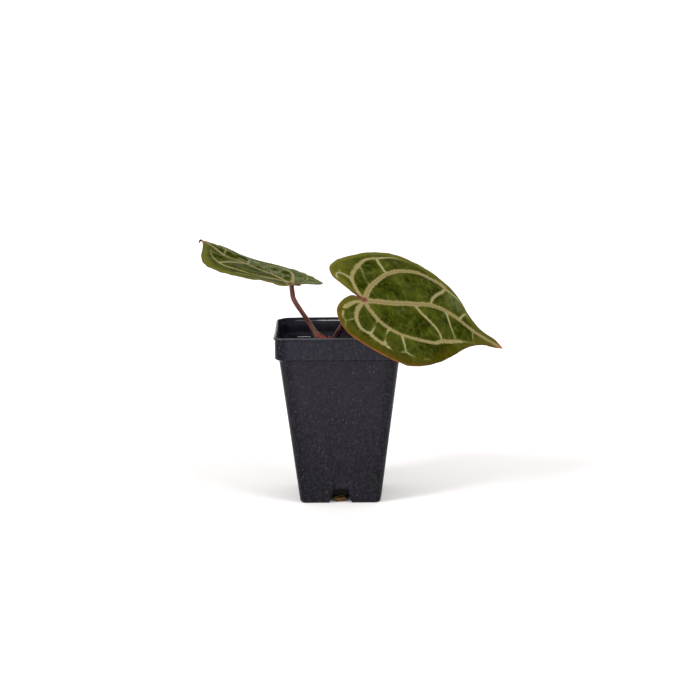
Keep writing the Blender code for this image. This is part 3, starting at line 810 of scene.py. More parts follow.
def make_piece(name, points, faces, look, slot, nodes=(), fields=(), merge=0.0, sharp=180.0):
    """A mesh object from points in millimetres, with its fields, that rides on the plant's body."""
    mesh = bpy.data.meshes.new(name)
    mesh.from_pydata((np.asarray(points, float) * MM).tolist(), [], [tuple(face) for face in faces])
    for field, values in dict(fields).items():
        values = np.asarray(values, np.float32)
        kind, key = ("FLOAT_VECTOR", "vector") if values.ndim == 2 else ("FLOAT", "value")
        mesh.attributes.new(field, kind, "POINT").data.foreach_set(key, values.ravel())
    bm = bmesh.new()
    bm.from_mesh(mesh)
    if merge:
        bmesh.ops.remove_doubles(bm, verts=bm.verts, dist=merge * MM)
    bmesh.ops.recalc_face_normals(bm, faces=bm.faces)
    bm.to_mesh(mesh)
    bm.free()
    mesh.shade_smooth()
    if sharp < 180:
        mesh.set_sharp_from_angle(angle=math.radians(sharp))
    mesh.materials.append(look)
    return settle(placed(name, mesh), nodes)


def fuse(name, parts, look, slot, sharp=180.0):
    """One piece from many separate lumps, each given as its points, its faces and its fields."""
    faces, start = [], 0
    for points, corners, _ in parts:
        faces += [np.array(face) + start for face in corners]
        start += len(points)
    points = np.vstack([part[0] for part in parts])
    fields = {key: np.concatenate([part[2][key] for part in parts]) for key in parts[0][2]}
    return make_piece(name, points, faces, look, slot, (), fields, sharp=sharp)


def blade_axes(blade):
    """Unit vectors along the middle vein, to its left seen from above, and up from the leaf's face."""
    heading, depth, roll = (math.radians(blade[key]) for key in ("heading", "depth_angle", "roll"))
    flat = math.cos(depth)
    along = Vector((flat * math.cos(heading), math.sin(depth), flat * math.sin(heading)))
    front = Vector((0, -1, 0))
    front = (front - along * front.dot(along)).normalized()
    up = math.cos(roll) * front + math.sin(roll) * front.cross(along)
    return along, up.cross(along), up


def blade_points(blade, a, b):
    """The bent leaf's points for flat places a along the middle vein and b to its left."""
    length = blade["length"]
    forward = np.maximum(a / length, 0)

    def direction(share):
        arch = -np.radians(blade["arch"][0] * share + blade["arch"][1] * share * share)
        side = np.radians(blade["side"]) * share**1.5
        return arch, np.stack([np.cos(arch) * np.cos(side), np.sin(side) * np.cos(arch), np.sin(arch)], -1)

    def by_half(key):
        bend, more = (np.where(b > 0, blade[key + "_left"][i], blade[key + "_right"][i]) for i in (0, 1))
        return bend + more * forward

    middle = sum(direction(forward * (i + 0.5) / BEND_STEPS)[1] for i in range(BEND_STEPS))
    middle *= (forward * length / BEND_STEPS)[:, None]
    middle[:, 0] += np.minimum(a, 0)
    arch, ex = direction(forward)
    ez = np.stack([-np.sin(arch), np.zeros(len(a)), np.cos(arch)], -1)
    ey = np.cross(ez, ex)
    twist = np.radians(blade["twist"]) * (a / length)[:, None]
    across = ey * np.cos(twist) + ez * np.sin(twist)
    rise = ez * np.cos(twist) - ey * np.sin(twist)
    fold = np.radians(by_half("fold"))
    back = blade["back"] * (np.minimum(a, 0) / 10) ** 2
    height = np.sin(fold) * abs(b) + by_half("cup") * (b / 30) ** 2 + back
    local = middle + across * (np.cos(fold) * b)[:, None] + rise * height[:, None]
    return np.array(blade["joint"]) + local @ np.array([tuple(axis) for axis in blade_axes(blade)])


def blade_normals(blade, a, b, step=0.4):
    """Unit vectors up from the bent leaf's face."""
    along = blade_points(blade, a + step, b) - blade_points(blade, a - step, b)
    across = blade_points(blade, a, b + step) - blade_points(blade, a, b - step)
    up = np.cross(along, across)
    return up / np.linalg.norm(up, axis=1)[:, None]


def margin_points(blade, side):
    return [blade["sinus"], *blade[side], blade["middle"][-1]]


def blade_grid(blade):
    """Flat places on a grid of columns from the notch to the tip and rows from margin to margin."""
    known = np.linspace(0, 1, MARGIN_SAMPLES)
    share, ways = np.linspace(0, 1, BLADE_COLUMNS + 1), np.linspace(0, 1, BLADE_ROWS + 1)[None, :, None]

    def at(points, wanted):
        line = smooth_through(points, MARGIN_SAMPLES)
        return np.stack([np.interp(wanted, known, line[:, k]) for k in (0, 1)], -1)

    uneven = ripple([(s * 30, 0, blade["length"]) for s in share], 1.0)
    creep = 1 + RIM_CREEP / 35 * uneven * smooth(share, 0, 0.1)
    reach = ways * (1 + (creep[:, None, None] - 1) * ways)
    vein = at([blade["sinus"], *blade["middle"]], share**COLUMN_CROWDING)
    halves = []
    for side in ("right", "left"):
        edge = at(margin_points(blade, side), share)
        halves.append(vein[:, None, :] + (edge - vein)[:, None, :] * reach)
    right, left = halves
    return np.concatenate([right[:, :0:-1], left], axis=1)


def nearest(places, targets, offsets=0.0, chunk=3000):
    """For each place: the least distance to a target less its offset, and which target that is."""
    least, which = np.empty(len(places)), np.empty(len(places), int)
    places, targets = places.astype(np.float32), targets.astype(np.float32)
    for first in range(0, len(places), chunk):
        part = places[first : first + chunk]
        across = part[:, None, 0] - targets[None, :, 0]
        along = part[:, None, 1] - targets[None, :, 1]
        distance = np.sqrt(across * across + along * along) - np.float32(offsets)
        found = distance.argmin(axis=1)
        which[first : first + chunk] = found
        least[first : first + chunk] = distance[np.arange(len(part)), found]
    return least, which


def moved(veins, shift):
    """The same veins, moved across the leaf."""
    return [(*vein[:3], [(a, b + shift) for a, b in vein[3]]) for vein in veins]


def sampled_veins(veins):
    """Points along every vein with its half width, its place along the vein and how brown its middle is."""
    rows = []
    for index, (first, last, brown, points) in enumerate(veins):
        length = float(spans(points).sum())
        count = max(int(length / VEIN_STEP), 6)
        share = np.linspace(0, 1, count)
        taper = np.sqrt(np.clip((1 - share) * length / 1.5, 0, 1))
        width = (first + (last - first) * share) * (0.45 + 0.55 * taper)
        run = share * length + 37.0 * index
        rows.append(np.column_stack([smooth_through(points, count), width, run, np.full(count, brown)]))
    return np.vstack(rows)


def closed_sheet(upper, lower, bulge, fields):
    """Points, faces and fields of a thin body between two grids of points, with a rounded, bulging rim."""
    columns, rows = upper.shape[:2]
    top = np.arange(columns * rows).reshape(columns, rows)
    bottom = top + columns * rows
    quads = []
    for sheet in (top, bottom[:, ::-1]):
        corners = [sheet[:-1, :-1], sheet[1:, :-1], sheet[1:, 1:], sheet[:-1, 1:]]
        quads.append(np.stack(corners, -1).reshape(-1, 4))
    loop = np.concatenate([top[:-1, 0], top[-1, :-1], top[:0:-1, -1], top[0, :0:-1]])
    inner = np.concatenate([top[:-1, 1], top[-2, :-1], top[:0:-1, -2], top[1, :0:-1]])
    upper, lower = upper.reshape(-1, 3), lower.reshape(-1, 3)
    middle = (upper + lower) / 2
    outward = middle[loop] - middle[inner]
    outward /= np.maximum(np.linalg.norm(outward, axis=1), 1e-6)[:, None]
    rim_points = middle[loop] + outward * bulge.reshape(-1)[loop][:, None]
    rim = np.arange(len(loop)) + 2 * columns * rows
    for first, second in ((loop, rim), (rim, loop + columns * rows)):
        quads.append(np.stack([first, np.roll(first, -1), np.roll(second, -1), second], -1))
    fields = {key: np.concatenate([values, values, values[loop]]) for key, values in fields.items()}
    return np.vstack([upper, lower, rim_points]), np.vstack(quads), fields


def make_blade(name, blade, veins, look):
    """The blade: a finely divided sheet with sunken veins, puffed fields between them and a waved rim."""
    grid = blade_grid(blade)
    shape = grid.shape[:2]
    flat = grid.reshape(-1, 2)
    a, b = flat[:, 0], flat[:, 1]
    lines = sampled_veins(veins)
    edge, which = nearest(flat, lines[:, :2], lines[:, 2])
    width, run, brown = lines[which, 2:].T
    margins = [margin_points(blade, side) for side in ("left", "right")]
    outline = [smooth_through(points, int(float(spans(points).sum()) / MARGIN_STEP)) for points in margins]
    rim, _ = nearest(flat, np.vstack(outline))
    joint = np.hypot(a, b)
    ratio = np.maximum(edge + width, 0) / width

    spots = np.column_stack([a, b, np.zeros(len(a))])
    puff, reach = blade["quilt"]
    height = puff * smooth(edge + 0.6 * width, 0, reach) * smooth(rim, 0.5, 6.0) * smooth(joint, 1, 9)
    groove = VEIN_GROOVE * np.exp(-(ratio**2)) * np.minimum(width, 1.0) * smooth(rim, 0.2, 2.5)
    wave = RIM_WAVE * ripple(spots, RIM_WAVE_LENGTH, 3.7) * smooth(rim, RIM_WAVE_REACH, 0)
    wave *= smooth(joint, 4, 16)
    ruffle = blade["ruffle"] * ripple(spots, RUFFLE_LENGTH, 6.3)
    wave += ruffle * smooth(rim, RUFFLE_REACH, 0) * smooth(joint, 3, 8)
    for wave_a, wave_b, wave_reach, wave_height in blade["waves"]:
        wave += wave_height * np.exp(-(((a - wave_a) ** 2 + (b - wave_b) ** 2) / wave_reach**2))
    lumps = LUMP_HEIGHT * ripple(spots, LUMP_SIZE, 9.1) * smooth(edge, 0, 1.5) * smooth(joint, 2, 8)
    height = height + wave + lumps
    thickness = BLADE_RIM_THICKNESS + (BLADE_MIDDLE_THICKNESS - BLADE_RIM_THICKNESS) * smooth(rim, 0, 3)
    middle, up = blade_points(blade, a, b), blade_normals(blade, a, b)
    upper = middle + up * (height + thickness / 2 - groove)[:, None]
    lower = middle + up * (height - thickness / 2)[:, None]
    bulge = np.full(shape, BLADE_RIM_THICKNESS * 0.4)
    bulge[0] = bulge[-1] = 0

    def spotted(key, least=0.0):
        strengths = np.full(len(a), least)
        for spot_a, spot_b, spot_reach, strength in blade[key]:
            distance = np.hypot(a - spot_a, b - spot_b)
            strengths = np.maximum(strengths, strength * smooth(distance, spot_reach, spot_reach * 0.4))
        return strengths

    tip_a, tip_b = blade["middle"][-1]
    dim = spotted("dim")
    fields = {
        "flat": spots, "rim": rim, "joint": joint, "red_rim": spotted("red_rim", 0.15), "dim": dim,
        # Painted sheen spots, weaker where the leaf is dim
        "frost": np.maximum(spotted("frost") - 0.5 * dim, 0),
        "tip": smooth(np.hypot(a - tip_a, b - tip_b), blade["tip_start"], blade["tip_start"] * 0.2),
        "vein_edge": edge, "vein_width": width, "vein_run": run,
        "vein_core": np.maximum(brown, 0) * smooth(ratio, 1.0, 0.35), "vein_frost": np.maximum(-brown, 0),
    }
    points, faces, fields = closed_sheet(upper.reshape(*shape, 3), lower.reshape(*shape, 3), bulge, fields)
    rim_start = 2 * len(a)
    fields["rim"][rim_start:] = 0
    fields["under"] = np.repeat([0, 1, 0.4], [len(a), len(a), len(points) - rim_start])
    node = "blade_" + name.split("_")[1]
    return make_piece(name, points, faces, look, "leaf_blade", [node], fields, merge=0.02)


def tube(line, radii, sides, flatness=1.0, up=None, wobble=None):
    """Points, faces and skin places of a tapered tube along a line, closed at both ends.

    With up, one unit vector for each point, the tube is squeezed along it by flatness.
    """
    line, radii = np.asarray(line, float), np.asarray(radii, float)
    ways = np.gradient(line, axis=0)
    ways /= np.linalg.norm(ways, axis=1)[:, None]
    if up is None:
        across = [np.cross(ways[0], (0.3, 1.0, 0.2))]
        for way in ways[1:]:
            across.append(across[-1] - way * np.dot(across[-1], way))
        across = np.array(across)
    else:
        across = np.cross(up, ways)
    across /= np.linalg.norm(across, axis=1)[:, None]
    second = np.cross(ways, across)
    angles = np.linspace(0, 2 * math.pi, sides, endpoint=False)
    run = run_of(line)
    scale = np.repeat(radii[:, None], sides, axis=1)
    if wobble is not None:
        scale = scale * wobble(run[:, None], angles[None, :])
    x, y = np.cos(angles) * scale, np.sin(angles) * scale
    points = line[:, None, :] + across[:, None, :] * x[:, :, None]
    points += second[:, None, :] * (y * flatness)[:, :, None]
    index = np.arange(len(line) * sides).reshape(-1, sides)
    following = np.roll(index, -1, axis=1)
    quads = np.stack([index[:-1], following[:-1], following[1:], index[1:]], -1).reshape(-1, 4)
    faces = [tuple(quad) for quad in quads] + [tuple(index[0, ::-1]), tuple(index[-1])]
    skin = np.stack([x, y, np.repeat(run[:, None], sides, axis=1)], -1)
    return points.reshape(-1, 3), faces, skin.reshape(-1, 3)


def make_ribs(name, blade, veins, look):
    """The raised veins on the underside: one low tapered rib under each vein, sunk into the blade."""
    parts = []
    for first, last, _, vein in veins:
        length = float(spans(vein).sum())
        rings = max(int(length / RIB_STEP), 5)
        a, b = smooth_through(vein, rings).T
        share = np.linspace(0, 1, rings)
        ends = np.sqrt(np.clip(np.minimum(share, 1 - share) * length / 1.2 + 0.06, 0.06, 1))
        radii = (first + (last - first) * share) * RIB_WIDTH_SHARE * ends
        up = blade_normals(blade, a, b)
        sunk = BLADE_MIDDLE_THICKNESS / 2 + np.maximum(RIB_FLATNESS * radii - RIB_COVER, 0)
        middle = blade_points(blade, a, b) - up * sunk[:, None]
        points, faces, skin = tube(middle, radii, RIB_SIDES, RIB_FLATNESS, up)
        parts.append((points, faces, {"skin": skin, "joint": np.repeat(np.hypot(a, b), RIB_SIDES)}))
    return fuse(name, parts, look, "leaf_blade")


def make_stalk(name, points, look, node):
    """A stalk with fine ridges, a swollen joint under the blade and a broad foot in the crown."""
    line = smooth_through([point[:3] for point in points], STALK_RINGS)
    share = np.linspace(0, 1, STALK_RINGS)
    radii = np.interp(share, np.linspace(0, 1, len(points)), [point[3] for point in points])
    foot = line[0] - (line[1] - line[0]) / np.linalg.norm(line[1] - line[0]) * STALK_FOOT_SUNK
    top = line[-1] + (line[-1] - line[-2]) / np.linalg.norm(line[-1] - line[-2]) * STALK_TOP_SUNK
    line = np.vstack([foot, line, top])
    radii = np.concatenate([[radii[0] * STALK_FOOT_FLARE], radii, [radii[-1] * STALK_TOP_FLARE]])
    run = run_of(line)
    length = run[-1]
    swelling = 1 + KNEE_SWELLING * np.exp(-(((run - (length - KNEE_BELOW_TOP)) / KNEE_REACH) ** 2))
    swelling += COLLAR_SWELLING * smooth(run, length - COLLAR_REACH, length)
    seed = float(points[0][0])

    def ridges(along, around):
        fine = 0.018 * np.sin(11 * around + 0.15 * along + seed) + 0.012 * np.sin(17 * around - 0.1 * along)
        lumps = 0.03 * np.sin(0.55 * along + 2 * around + seed) + 0.02 * np.sin(1.3 * along - around)
        return 1 + fine + lumps

    made, faces, skin = tube(line, radii * swelling, STALK_SIDES, wobble=ridges)
    fields = {"skin": skin, "along": np.repeat(run / length, STALK_SIDES)}
    return make_piece(name, made, faces, look, "stalk_skin", [node], fields, sharp=50)


def make_crown(look):
    """The short stem: corky rings left by old leaves, and a rough top that the stalks grow from."""
    heights = np.linspace(CROWN_FOOT, CROWN_TOP, CROWN_RINGS)
    line = np.column_stack([*np.full((CROWN_RINGS, 2), CROWN_AT).T, heights])
    rings = 0.16 * np.abs(np.sin((heights - CROWN_FOOT) * math.pi / CROWN_RING_HEIGHT)) ** 0.5
    dome = np.sqrt(np.clip((CROWN_TOP + 0.05 - heights) / 1.2, 0.05, 1))
    radii = (CROWN_RADIUS * (0.84 + rings)) * (0.35 + 0.65 * dome)

    def rough(along, around):
        return 1 + 0.05 * np.sin(3 * around + along) + 0.03 * np.sin(7 * around - 2.1 * along)

    made, faces, skin = tube(line, radii, CROWN_SIDES, wobble=rough)
    return make_piece("crown_stem", made, faces, look, "crown_stem", ["crown"], {"skin": skin}, sharp=60)


def make_scale(name, look, centre, radius, foot, angles, tops, width, nodes=()):
    """A thin scale that wraps the crown: it rises to its tops and curls out at its torn edge."""
    columns, rows = np.linspace(0, 1, SCALE_COLUMNS), np.linspace(0, 1, SCALE_ROWS)
    share, climb = np.meshgrid(columns, rows, indexing="ij")
    angle = np.radians(angles[0] + (angles[1] - angles[0]) * share)
    top = np.interp(share, np.linspace(0, 1, len(tops)), tops)
    torn = 0.22 * np.sin(41 * share + radius) + 0.13 * np.sin(97 * share + 1.0)
    height = foot + (top + torn * climb**4 - foot) * climb
    out_by = radius + 0.08 * np.sin(34 * share) * smooth(climb, 0.1, 0.5) + 0.3 * climb**6
    x = centre[0] + out_by * np.cos(angle) - 0.5 * climb**2 * (1 - share)
    middle = np.stack([x, centre[1] + out_by * np.sin(angle), height], -1)
    out = np.stack([np.cos(angle), np.sin(angle), np.zeros_like(angle)], -1)
    border = np.minimum(np.minimum(share, 1 - share) * width, np.minimum(climb, 1 - climb) * SCALE_CLIMB)
    thicker = SHEATH_MIDDLE_THICKNESS - SHEATH_RIM_THICKNESS
    thickness = SHEATH_RIM_THICKNESS + thicker * smooth(border, 0, 1.2)
    half = out * thickness[..., None] / 2
    skin = np.stack([share * width, climb * SCALE_CLIMB, np.full_like(share, radius)], -1).reshape(-1, 3)
    bulge = np.full(share.shape, SHEATH_RIM_THICKNESS * 0.4)
    body = closed_sheet(middle + half, middle - half, bulge, {"skin": skin, "rim": border.reshape(-1)})
    return make_piece(name, *body[:2], look, "sheath_skin", nodes, body[2])


def make_withered_tip(look):
    """The dry, hooked end of the left leaf."""
    tip = blade_points(LEFT_BLADE, *np.array(LEFT_BLADE["middle"][-1:], float).T)[0]
    along, down = np.array(blade_axes(LEFT_BLADE)[0]), np.array((0.0, 0.0, -1.0))
    line = smooth_through([tip + onward * along + fall * down for onward, fall in WITHERED_HOOK], TIP_RINGS)
    share = np.linspace(0, 1, TIP_RINGS)
    radii = np.interp(share, (0, 0.25, 0.55, 0.8, 1), (0.36, 0.5, 0.48, 0.26, 0.1))

    def crumpled(run, around):
        return 1 + 0.22 * np.sin(3 * around + 2.6 * run) + 0.12 * np.sin(5 * around - 4 * run)

    made, faces, skin = tube(line, radii, TIP_SIDES, wobble=crumpled)
    fields = {"skin": skin, "along": np.repeat(share, TIP_SIDES)}
    return make_piece("withered_tip", made, faces, look, "leaf_blade", (), fields)


def ring_points(half, corner, height):
    """One level of a square with round corners: points in order round it."""
    points = []
    straight = half - corner
    level = [(half, -straight + 2 * straight * (i / POT_SIDE_STEPS)) for i in range(POT_SIDE_STEPS)]
    for i in range(POT_CORNER_STEPS):
        angle = math.pi / 2 * i / POT_CORNER_STEPS
        level.append((straight + corner * math.cos(angle), straight + corner * math.sin(angle)))
    for quarter in range(4):
        cos, sin = math.cos(quarter * math.pi / 2), math.sin(quarter * math.pi / 2)
        points += [(x * cos - y * sin, x * sin + y * cos, height) for x, y in level]
    return points


def pot_profile():
    """(half width, height, inside or not) up the outside, over the lip and down the inside."""
    step, base = (POT_BODY_TOP_HALF, POT_BODY_TOP), (POT_BASE_HALF, 0)
    band, lip = POT_BAND_HALF, POT_LIP_HALF

    def at(start, *offsets):
        return [(start[0] + out, start[1] + up) for out, up in offsets]

    def side(inward, *heights):
        spread = POT_BODY_TOP_HALF - POT_BASE_HALF
        return [(POT_BASE_HALF + spread * z / POT_BODY_TOP - inward, z) for z in heights]

    outside = [
        *at(base, (-2.2, 0), (-1.2, 0), (-0.65, 0.12), (-0.2, 0.42), (0.03, 0.9)),
        *side(0, 1.5, 2.2, 6.0, 12.5, 25.0, 37.5, 50.0, 62.0, 70.0, 73.2),
        *at(step, (0, -0.3), (0.06, 0), (0.3, 0.35), (0.9, 0.75)),
        *at((band, POT_BODY_TOP), (-0.4, 1.15), (-0.08, 1.55), (0, 2.0), (0, 2.8), (0, 6.0)),
        *at((band, POT_HEIGHT), (0, -2.2), (0, -1.6), (0.06, -1.42)),
        *at((lip, POT_HEIGHT), (-0.2, -1.2), (-0.03, -1), (0, -0.75)),
        *at((lip, POT_HEIGHT), (-0.02, -0.35), (-0.12, -0.12), (-0.3, 0)),
    ]
    inside = [
        *at((lip - 0.75, POT_HEIGHT), (0.22, 0), (0.07, -0.08), (0, -0.25), (-0.02, -1.1), (-0.12, -1.5)),
        *at((band - POT_WALL, POT_HEIGHT), (0.2, -2.5), (0, -3.4)),
        *at((band - POT_WALL, POT_BODY_TOP), (0, 6.0), (-0.08, 4.4), (-0.5, 3.2)),
        *at((step[0] - POT_WALL, POT_BODY_TOP), (0.1, 1.8), (0, 1.0)),
        *side(POT_WALL, 73.2, 62.0, 37.5, 12.5, 4.0, 2.4),
        *at(base, (-1.3, 1.5), (-1.9, 1.1), (-2.8, POT_WALL)),
    ]
    return [(half, z, False) for half, z in outside] + [(half, z, True) for half, z in inside]


def channel_cutter():
    """Four prisms, one in from the middle of each bottom edge, as one mesh object."""
    foot, half, shoulder, top = CHANNEL_FOOT_HALF + 0.6, CHANNEL_HALF, CHANNEL_SHOULDER, CHANNEL_TOP
    outline = ((-foot, -1), (foot, -1), (half, shoulder), (half, top), (-half, top), (-half, shoulder))
    outer = POT_BASE_HALF + 4
    bm = bmesh.new()
    for quarter in range(4):
        face = bm.faces.new([bm.verts.new((x * MM, -outer * MM, z * MM)) for x, z in outline])
        grown = bmesh.ops.extrude_face_region(bm, geom=[face])["geom"]
        end = [item for item in grown if isinstance(item, bmesh.types.BMVert)]
        bmesh.ops.translate(bm, verts=end, vec=(0, (outer - CHANNEL_INNER_END) * MM, 0))
        turn = Matrix.Rotation(quarter * math.pi / 2, 4, "Z")
        bmesh.ops.transform(bm, matrix=turn, verts=list(face.verts) + end)
    bmesh.ops.recalc_face_normals(bm, faces=bm.faces)
    return placed("channel_cutter", mesh_of(bm, "channel cutter"))


def rim_warp(x, y, z):
    """The thin band has warped a little: its back stands wider and, between its corners, higher."""
    share = max(z - POT_BODY_TOP, 0) / (POT_HEIGHT - POT_BODY_TOP) * float(smooth(y, -12, 30))
    rise = POT_BACK_RISE * share * (1 - 0.9 * float(smooth(abs(x), 25, 32)) * float(smooth(y, 18, 30)))
    return x + math.copysign(POT_BACK_SPREAD * share, x) * (abs(x) > 1), y, z + rise


def make_pot(look):
    """The pot: one shell lofted through its levels, with four drain channels cut and their edges eased."""
    points = []
    for half, height, inside in pot_profile():
        corner = max(half * POT_CORNER_SHARE - (POT_WALL * 0.7 if inside else 0), 1.0)
        points += [rim_warp(*point) for point in ring_points(half, corner, height)]
    index = np.arange(len(points)).reshape(-1, 4 * (POT_SIDE_STEPS + POT_CORNER_STEPS))
    following = np.roll(index, -1, axis=1)
    quads = np.stack([index[:-1], following[:-1], following[1:], index[1:]], -1).reshape(-1, 4)
    faces = [*quads, index[0, ::-1], index[-1]]
    pot = make_piece("pot_shell", points, faces, look, "pot_plastic", ["pot"])
    cutter = channel_cutter()
    modify(pot, "BOOLEAN", operation="DIFFERENCE", solver="EXACT", object=cutter)
    modify(pot, "BEVEL", width=POT_EDGE_EASE * MM, segments=3, limit_method="ANGLE",
           angle_limit=math.radians(POT_EASED_ANGLE))
    apply_modifiers(pot)
    bpy.data.objects.remove(cutter)
    pot.data.shade_smooth()
    pot.data.set_sharp_from_angle(angle=math.radians(POT_SHARP_ANGLE))
    return pot


def soil_height(x, y):
    """Height of the mix's surface: a low mound with waves."""
    reach = np.maximum(abs(x), abs(y))
    mound = np.interp(reach, (0, 5, 11, 18, 24, SOIL_HALF + 2), (2.4, 2.4, 2.0, 1.3, 0.6, 0.0))
    return SOIL_EDGE_TOP + mound + 0.5 * np.sin(0.45 * x + 0.8) + 0.4 * np.cos(0.52 * y - 0.3)


def off_crown(x, y):
    """Distance from the crown's middle, seen from above."""
    return np.hypot(x - CROWN_AT[0], y - CROWN_AT[1])


def make_mix_body(look):
    """The mix as one rough body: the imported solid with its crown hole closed, remeshed and made lumpy."""
    body = placed("mix_body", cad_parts["potting_mix"].data.copy())
    bm = bmesh.new()
    radius = (CROWN_HOLE_RADIUS + 0.8) * MM
    bmesh.ops.create_cone(
        bm, cap_ends=True, segments=32, radius1=radius, radius2=radius, depth=CROWN_PLUG_HEIGHT * MM)
    bmesh.ops.translate(bm, verts=bm.verts, vec=[at * MM for at in (*CROWN_AT, CROWN_PLUG_MIDDLE)])
    plug = placed("plug", mesh_of(bm, "plug"))
    modify(body, "BOOLEAN", operation="UNION", solver="EXACT", object=plug)
    modify(body, "REMESH", mode="VOXEL", voxel_size=SOIL_VOXEL * MM)
    apply_modifiers(body)
    bpy.data.objects.remove(plug)

    def read(key):
        values = np.empty(len(body.data.vertices) * 3, np.float32)
        body.data.vertices.foreach_get(key, values)
        return values.reshape(-1, 3)

    points, normals = read("co").astype(float) / MM, read("normal")
    clods = 0.55 * ripple(points, 2.4, 1.3) + 0.35 * ripple(points, 1.1, 5.2)
    in_channel = (points[:, 2] < CHANNEL_TOP + 0.8) & (normals[:, 2] < 0.5)
    amount = np.where(points[:, 2] > SOIL_EDGE_TOP - 1, 1.5, np.where(in_channel, 0.5, 0.0))
    points += normals * (clods * amount)[:, None]
    points[:, :2] *= 1 + (POT_BODY_TOP_HALF / SOIL_CAD_WALL - 1) * smooth(points[:, 2], 10, 40)[:, None]
    body.data.vertices.foreach_set("co", (points * MM).astype(np.float32).ravel())
    # Painted shade: the mix in the drain channels is painted darker, as shade in the recess
    shade = np.clip(0.5 + 0.6 * clods - 0.8 * in_channel, -0.4, 1)
    body.data.attributes.new("shade", "FLOAT", "POINT").data.foreach_set("value", shade.astype(np.float32))
    body.data.shade_smooth()
    body.data.materials.clear()
    body.data.materials.append(look)
    return settle(body, ["potting_mix"])


def lump_shape(level, rng, roughness):
    """Points and triangles of one unit lump with flattened, broken faces."""
    bm = bmesh.new()
    bmesh.ops.create_icosphere(bm, subdivisions=level, radius=1.0)
    points = np.array([tuple(vert.co) for vert in bm.verts])
    faces = [tuple(vert.index for vert in face.verts) for face in bm.faces]
    bm.free()
    for _ in range(LUMP_CUTS):
        way = rng.normal(size=3)
        way /= np.linalg.norm(way)
        depth = points @ way
        points -= np.outer(np.maximum(depth - rng.uniform(0.45, 0.8), 0), way)
    points *= 1 + roughness * ripple(points, 0.6, rng.uniform(0, 50))[:, None]
    return points, np.array(faces)


def random_turn(rng, lean):
    """A rotation: any heading, and a tilt up to lean degrees."""
    heading = Matrix.Rotation(rng.uniform(0, 2 * math.pi), 3, "Z")
    axis = Vector((rng.uniform(-1, 1), rng.uniform(-1, 1), 0.01)).normalized()
    return np.array(Matrix.Rotation(math.radians(rng.uniform(-lean, lean)), 3, axis) @ heading)


def shaded(points, faces, shade):
    return points, faces, {"shade": np.full(len(points), shade)}


def scatter(name, look, count, sizes, shape, level, lean, seed, roughness=0.12):
    """Many loose grains on the mix, as one piece.

    Sizes is (least, most) and shape is x, y, z shares. Level is how finely each grain is divided, and lean
    how far it tilts.
    """
    rng = np.random.default_rng(seed)
    shapes = [lump_shape(level, rng, roughness) for _ in range(LUMP_KINDS)]
    parts = []
    while len(parts) < count:
        x, y = rng.uniform(-SOIL_HALF, SOIL_HALF, 2)
        size = rng.uniform(*sizes)
        if max(abs(x), abs(y)) > SOIL_HALF - size * 0.6 or off_crown(x, y) < CROWN_RADIUS + size * 0.6:
            continue
        base, triangles = shapes[len(parts) % LUMP_KINDS]
        stretch = np.array(shape) * rng.uniform(0.75, 1.25, 3) * size / 2
        made = (base * stretch) @ random_turn(rng, lean).T
        height = float(soil_height(np.array(x), np.array(y))) + made[:, 2].max() * (1 - 2 * GRAIN_SUNK)
        parts.append(shaded(made + (x, y, height), triangles, rng.uniform(0, 1)))
    return fuse(name, parts, look, "potting_mix", 45)


def make_fibres(look, count=46, seed=71):
    """Thin curved fibres lying in and on the mix."""
    rng = np.random.default_rng(seed)
    share = np.linspace(0, 1, FIBRE_POINTS)
    rise = 0.9 + 0.7 * np.sin(np.linspace(0, math.pi, FIBRE_POINTS))
    rise = rise - 1.2 * (abs(np.linspace(-1, 1, FIBRE_POINTS)) ** 4)
    parts = []
    while len(parts) < count:
        x, y = rng.uniform(-SOIL_HALF + 5, SOIL_HALF - 5, 2)
        if off_crown(x, y) < 7:
            continue
        heading, length = rng.uniform(0, 2 * math.pi), rng.uniform(4, 11)
        turn = heading + rng.uniform(-0.16, 0.16) * (np.linspace(-0.5, 0.5, FIBRE_POINTS) * length)
        xs = x + np.cumsum(np.cos(turn)) * length / FIBRE_POINTS
        ys = y + np.cumsum(np.sin(turn)) * length / FIBRE_POINTS
        outside = max(abs(xs).max(), abs(ys).max()) > SOIL_HALF - 0.5
        if outside or off_crown(xs, ys).min() < CROWN_RADIUS + 1:
            continue
        radii = rng.uniform(0.1, 0.24) * np.interp(share, (0, 0.2, 1), (0.6, 1, 0.4))
        made, faces, _ = tube(np.column_stack([xs, ys, soil_height(xs, ys) + rise]), radii, 6)
        parts.append(shaded(made, faces, rng.uniform(0, 1)))
    return fuse("mix_fibres", parts, look, "potting_mix")


def make_drain_bits(look, seed=12):
    """The bit of bark that shows in the front drain channel, with smaller crumbs beside it."""
    rng = np.random.default_rng(seed)
    parts = []
    for centre, size, tilt in DRAIN_BITS:
        base, triangles = lump_shape(3, rng, 0.16)
        turn = np.array(Matrix.Rotation(math.radians(tilt), 3, "Y"))
        parts.append(shaded((base * np.array(size)) @ turn.T + centre, triangles, rng.uniform(0.3, 0.9)))
    return fuse("drain_bark", parts, look, "potting_mix", 50)


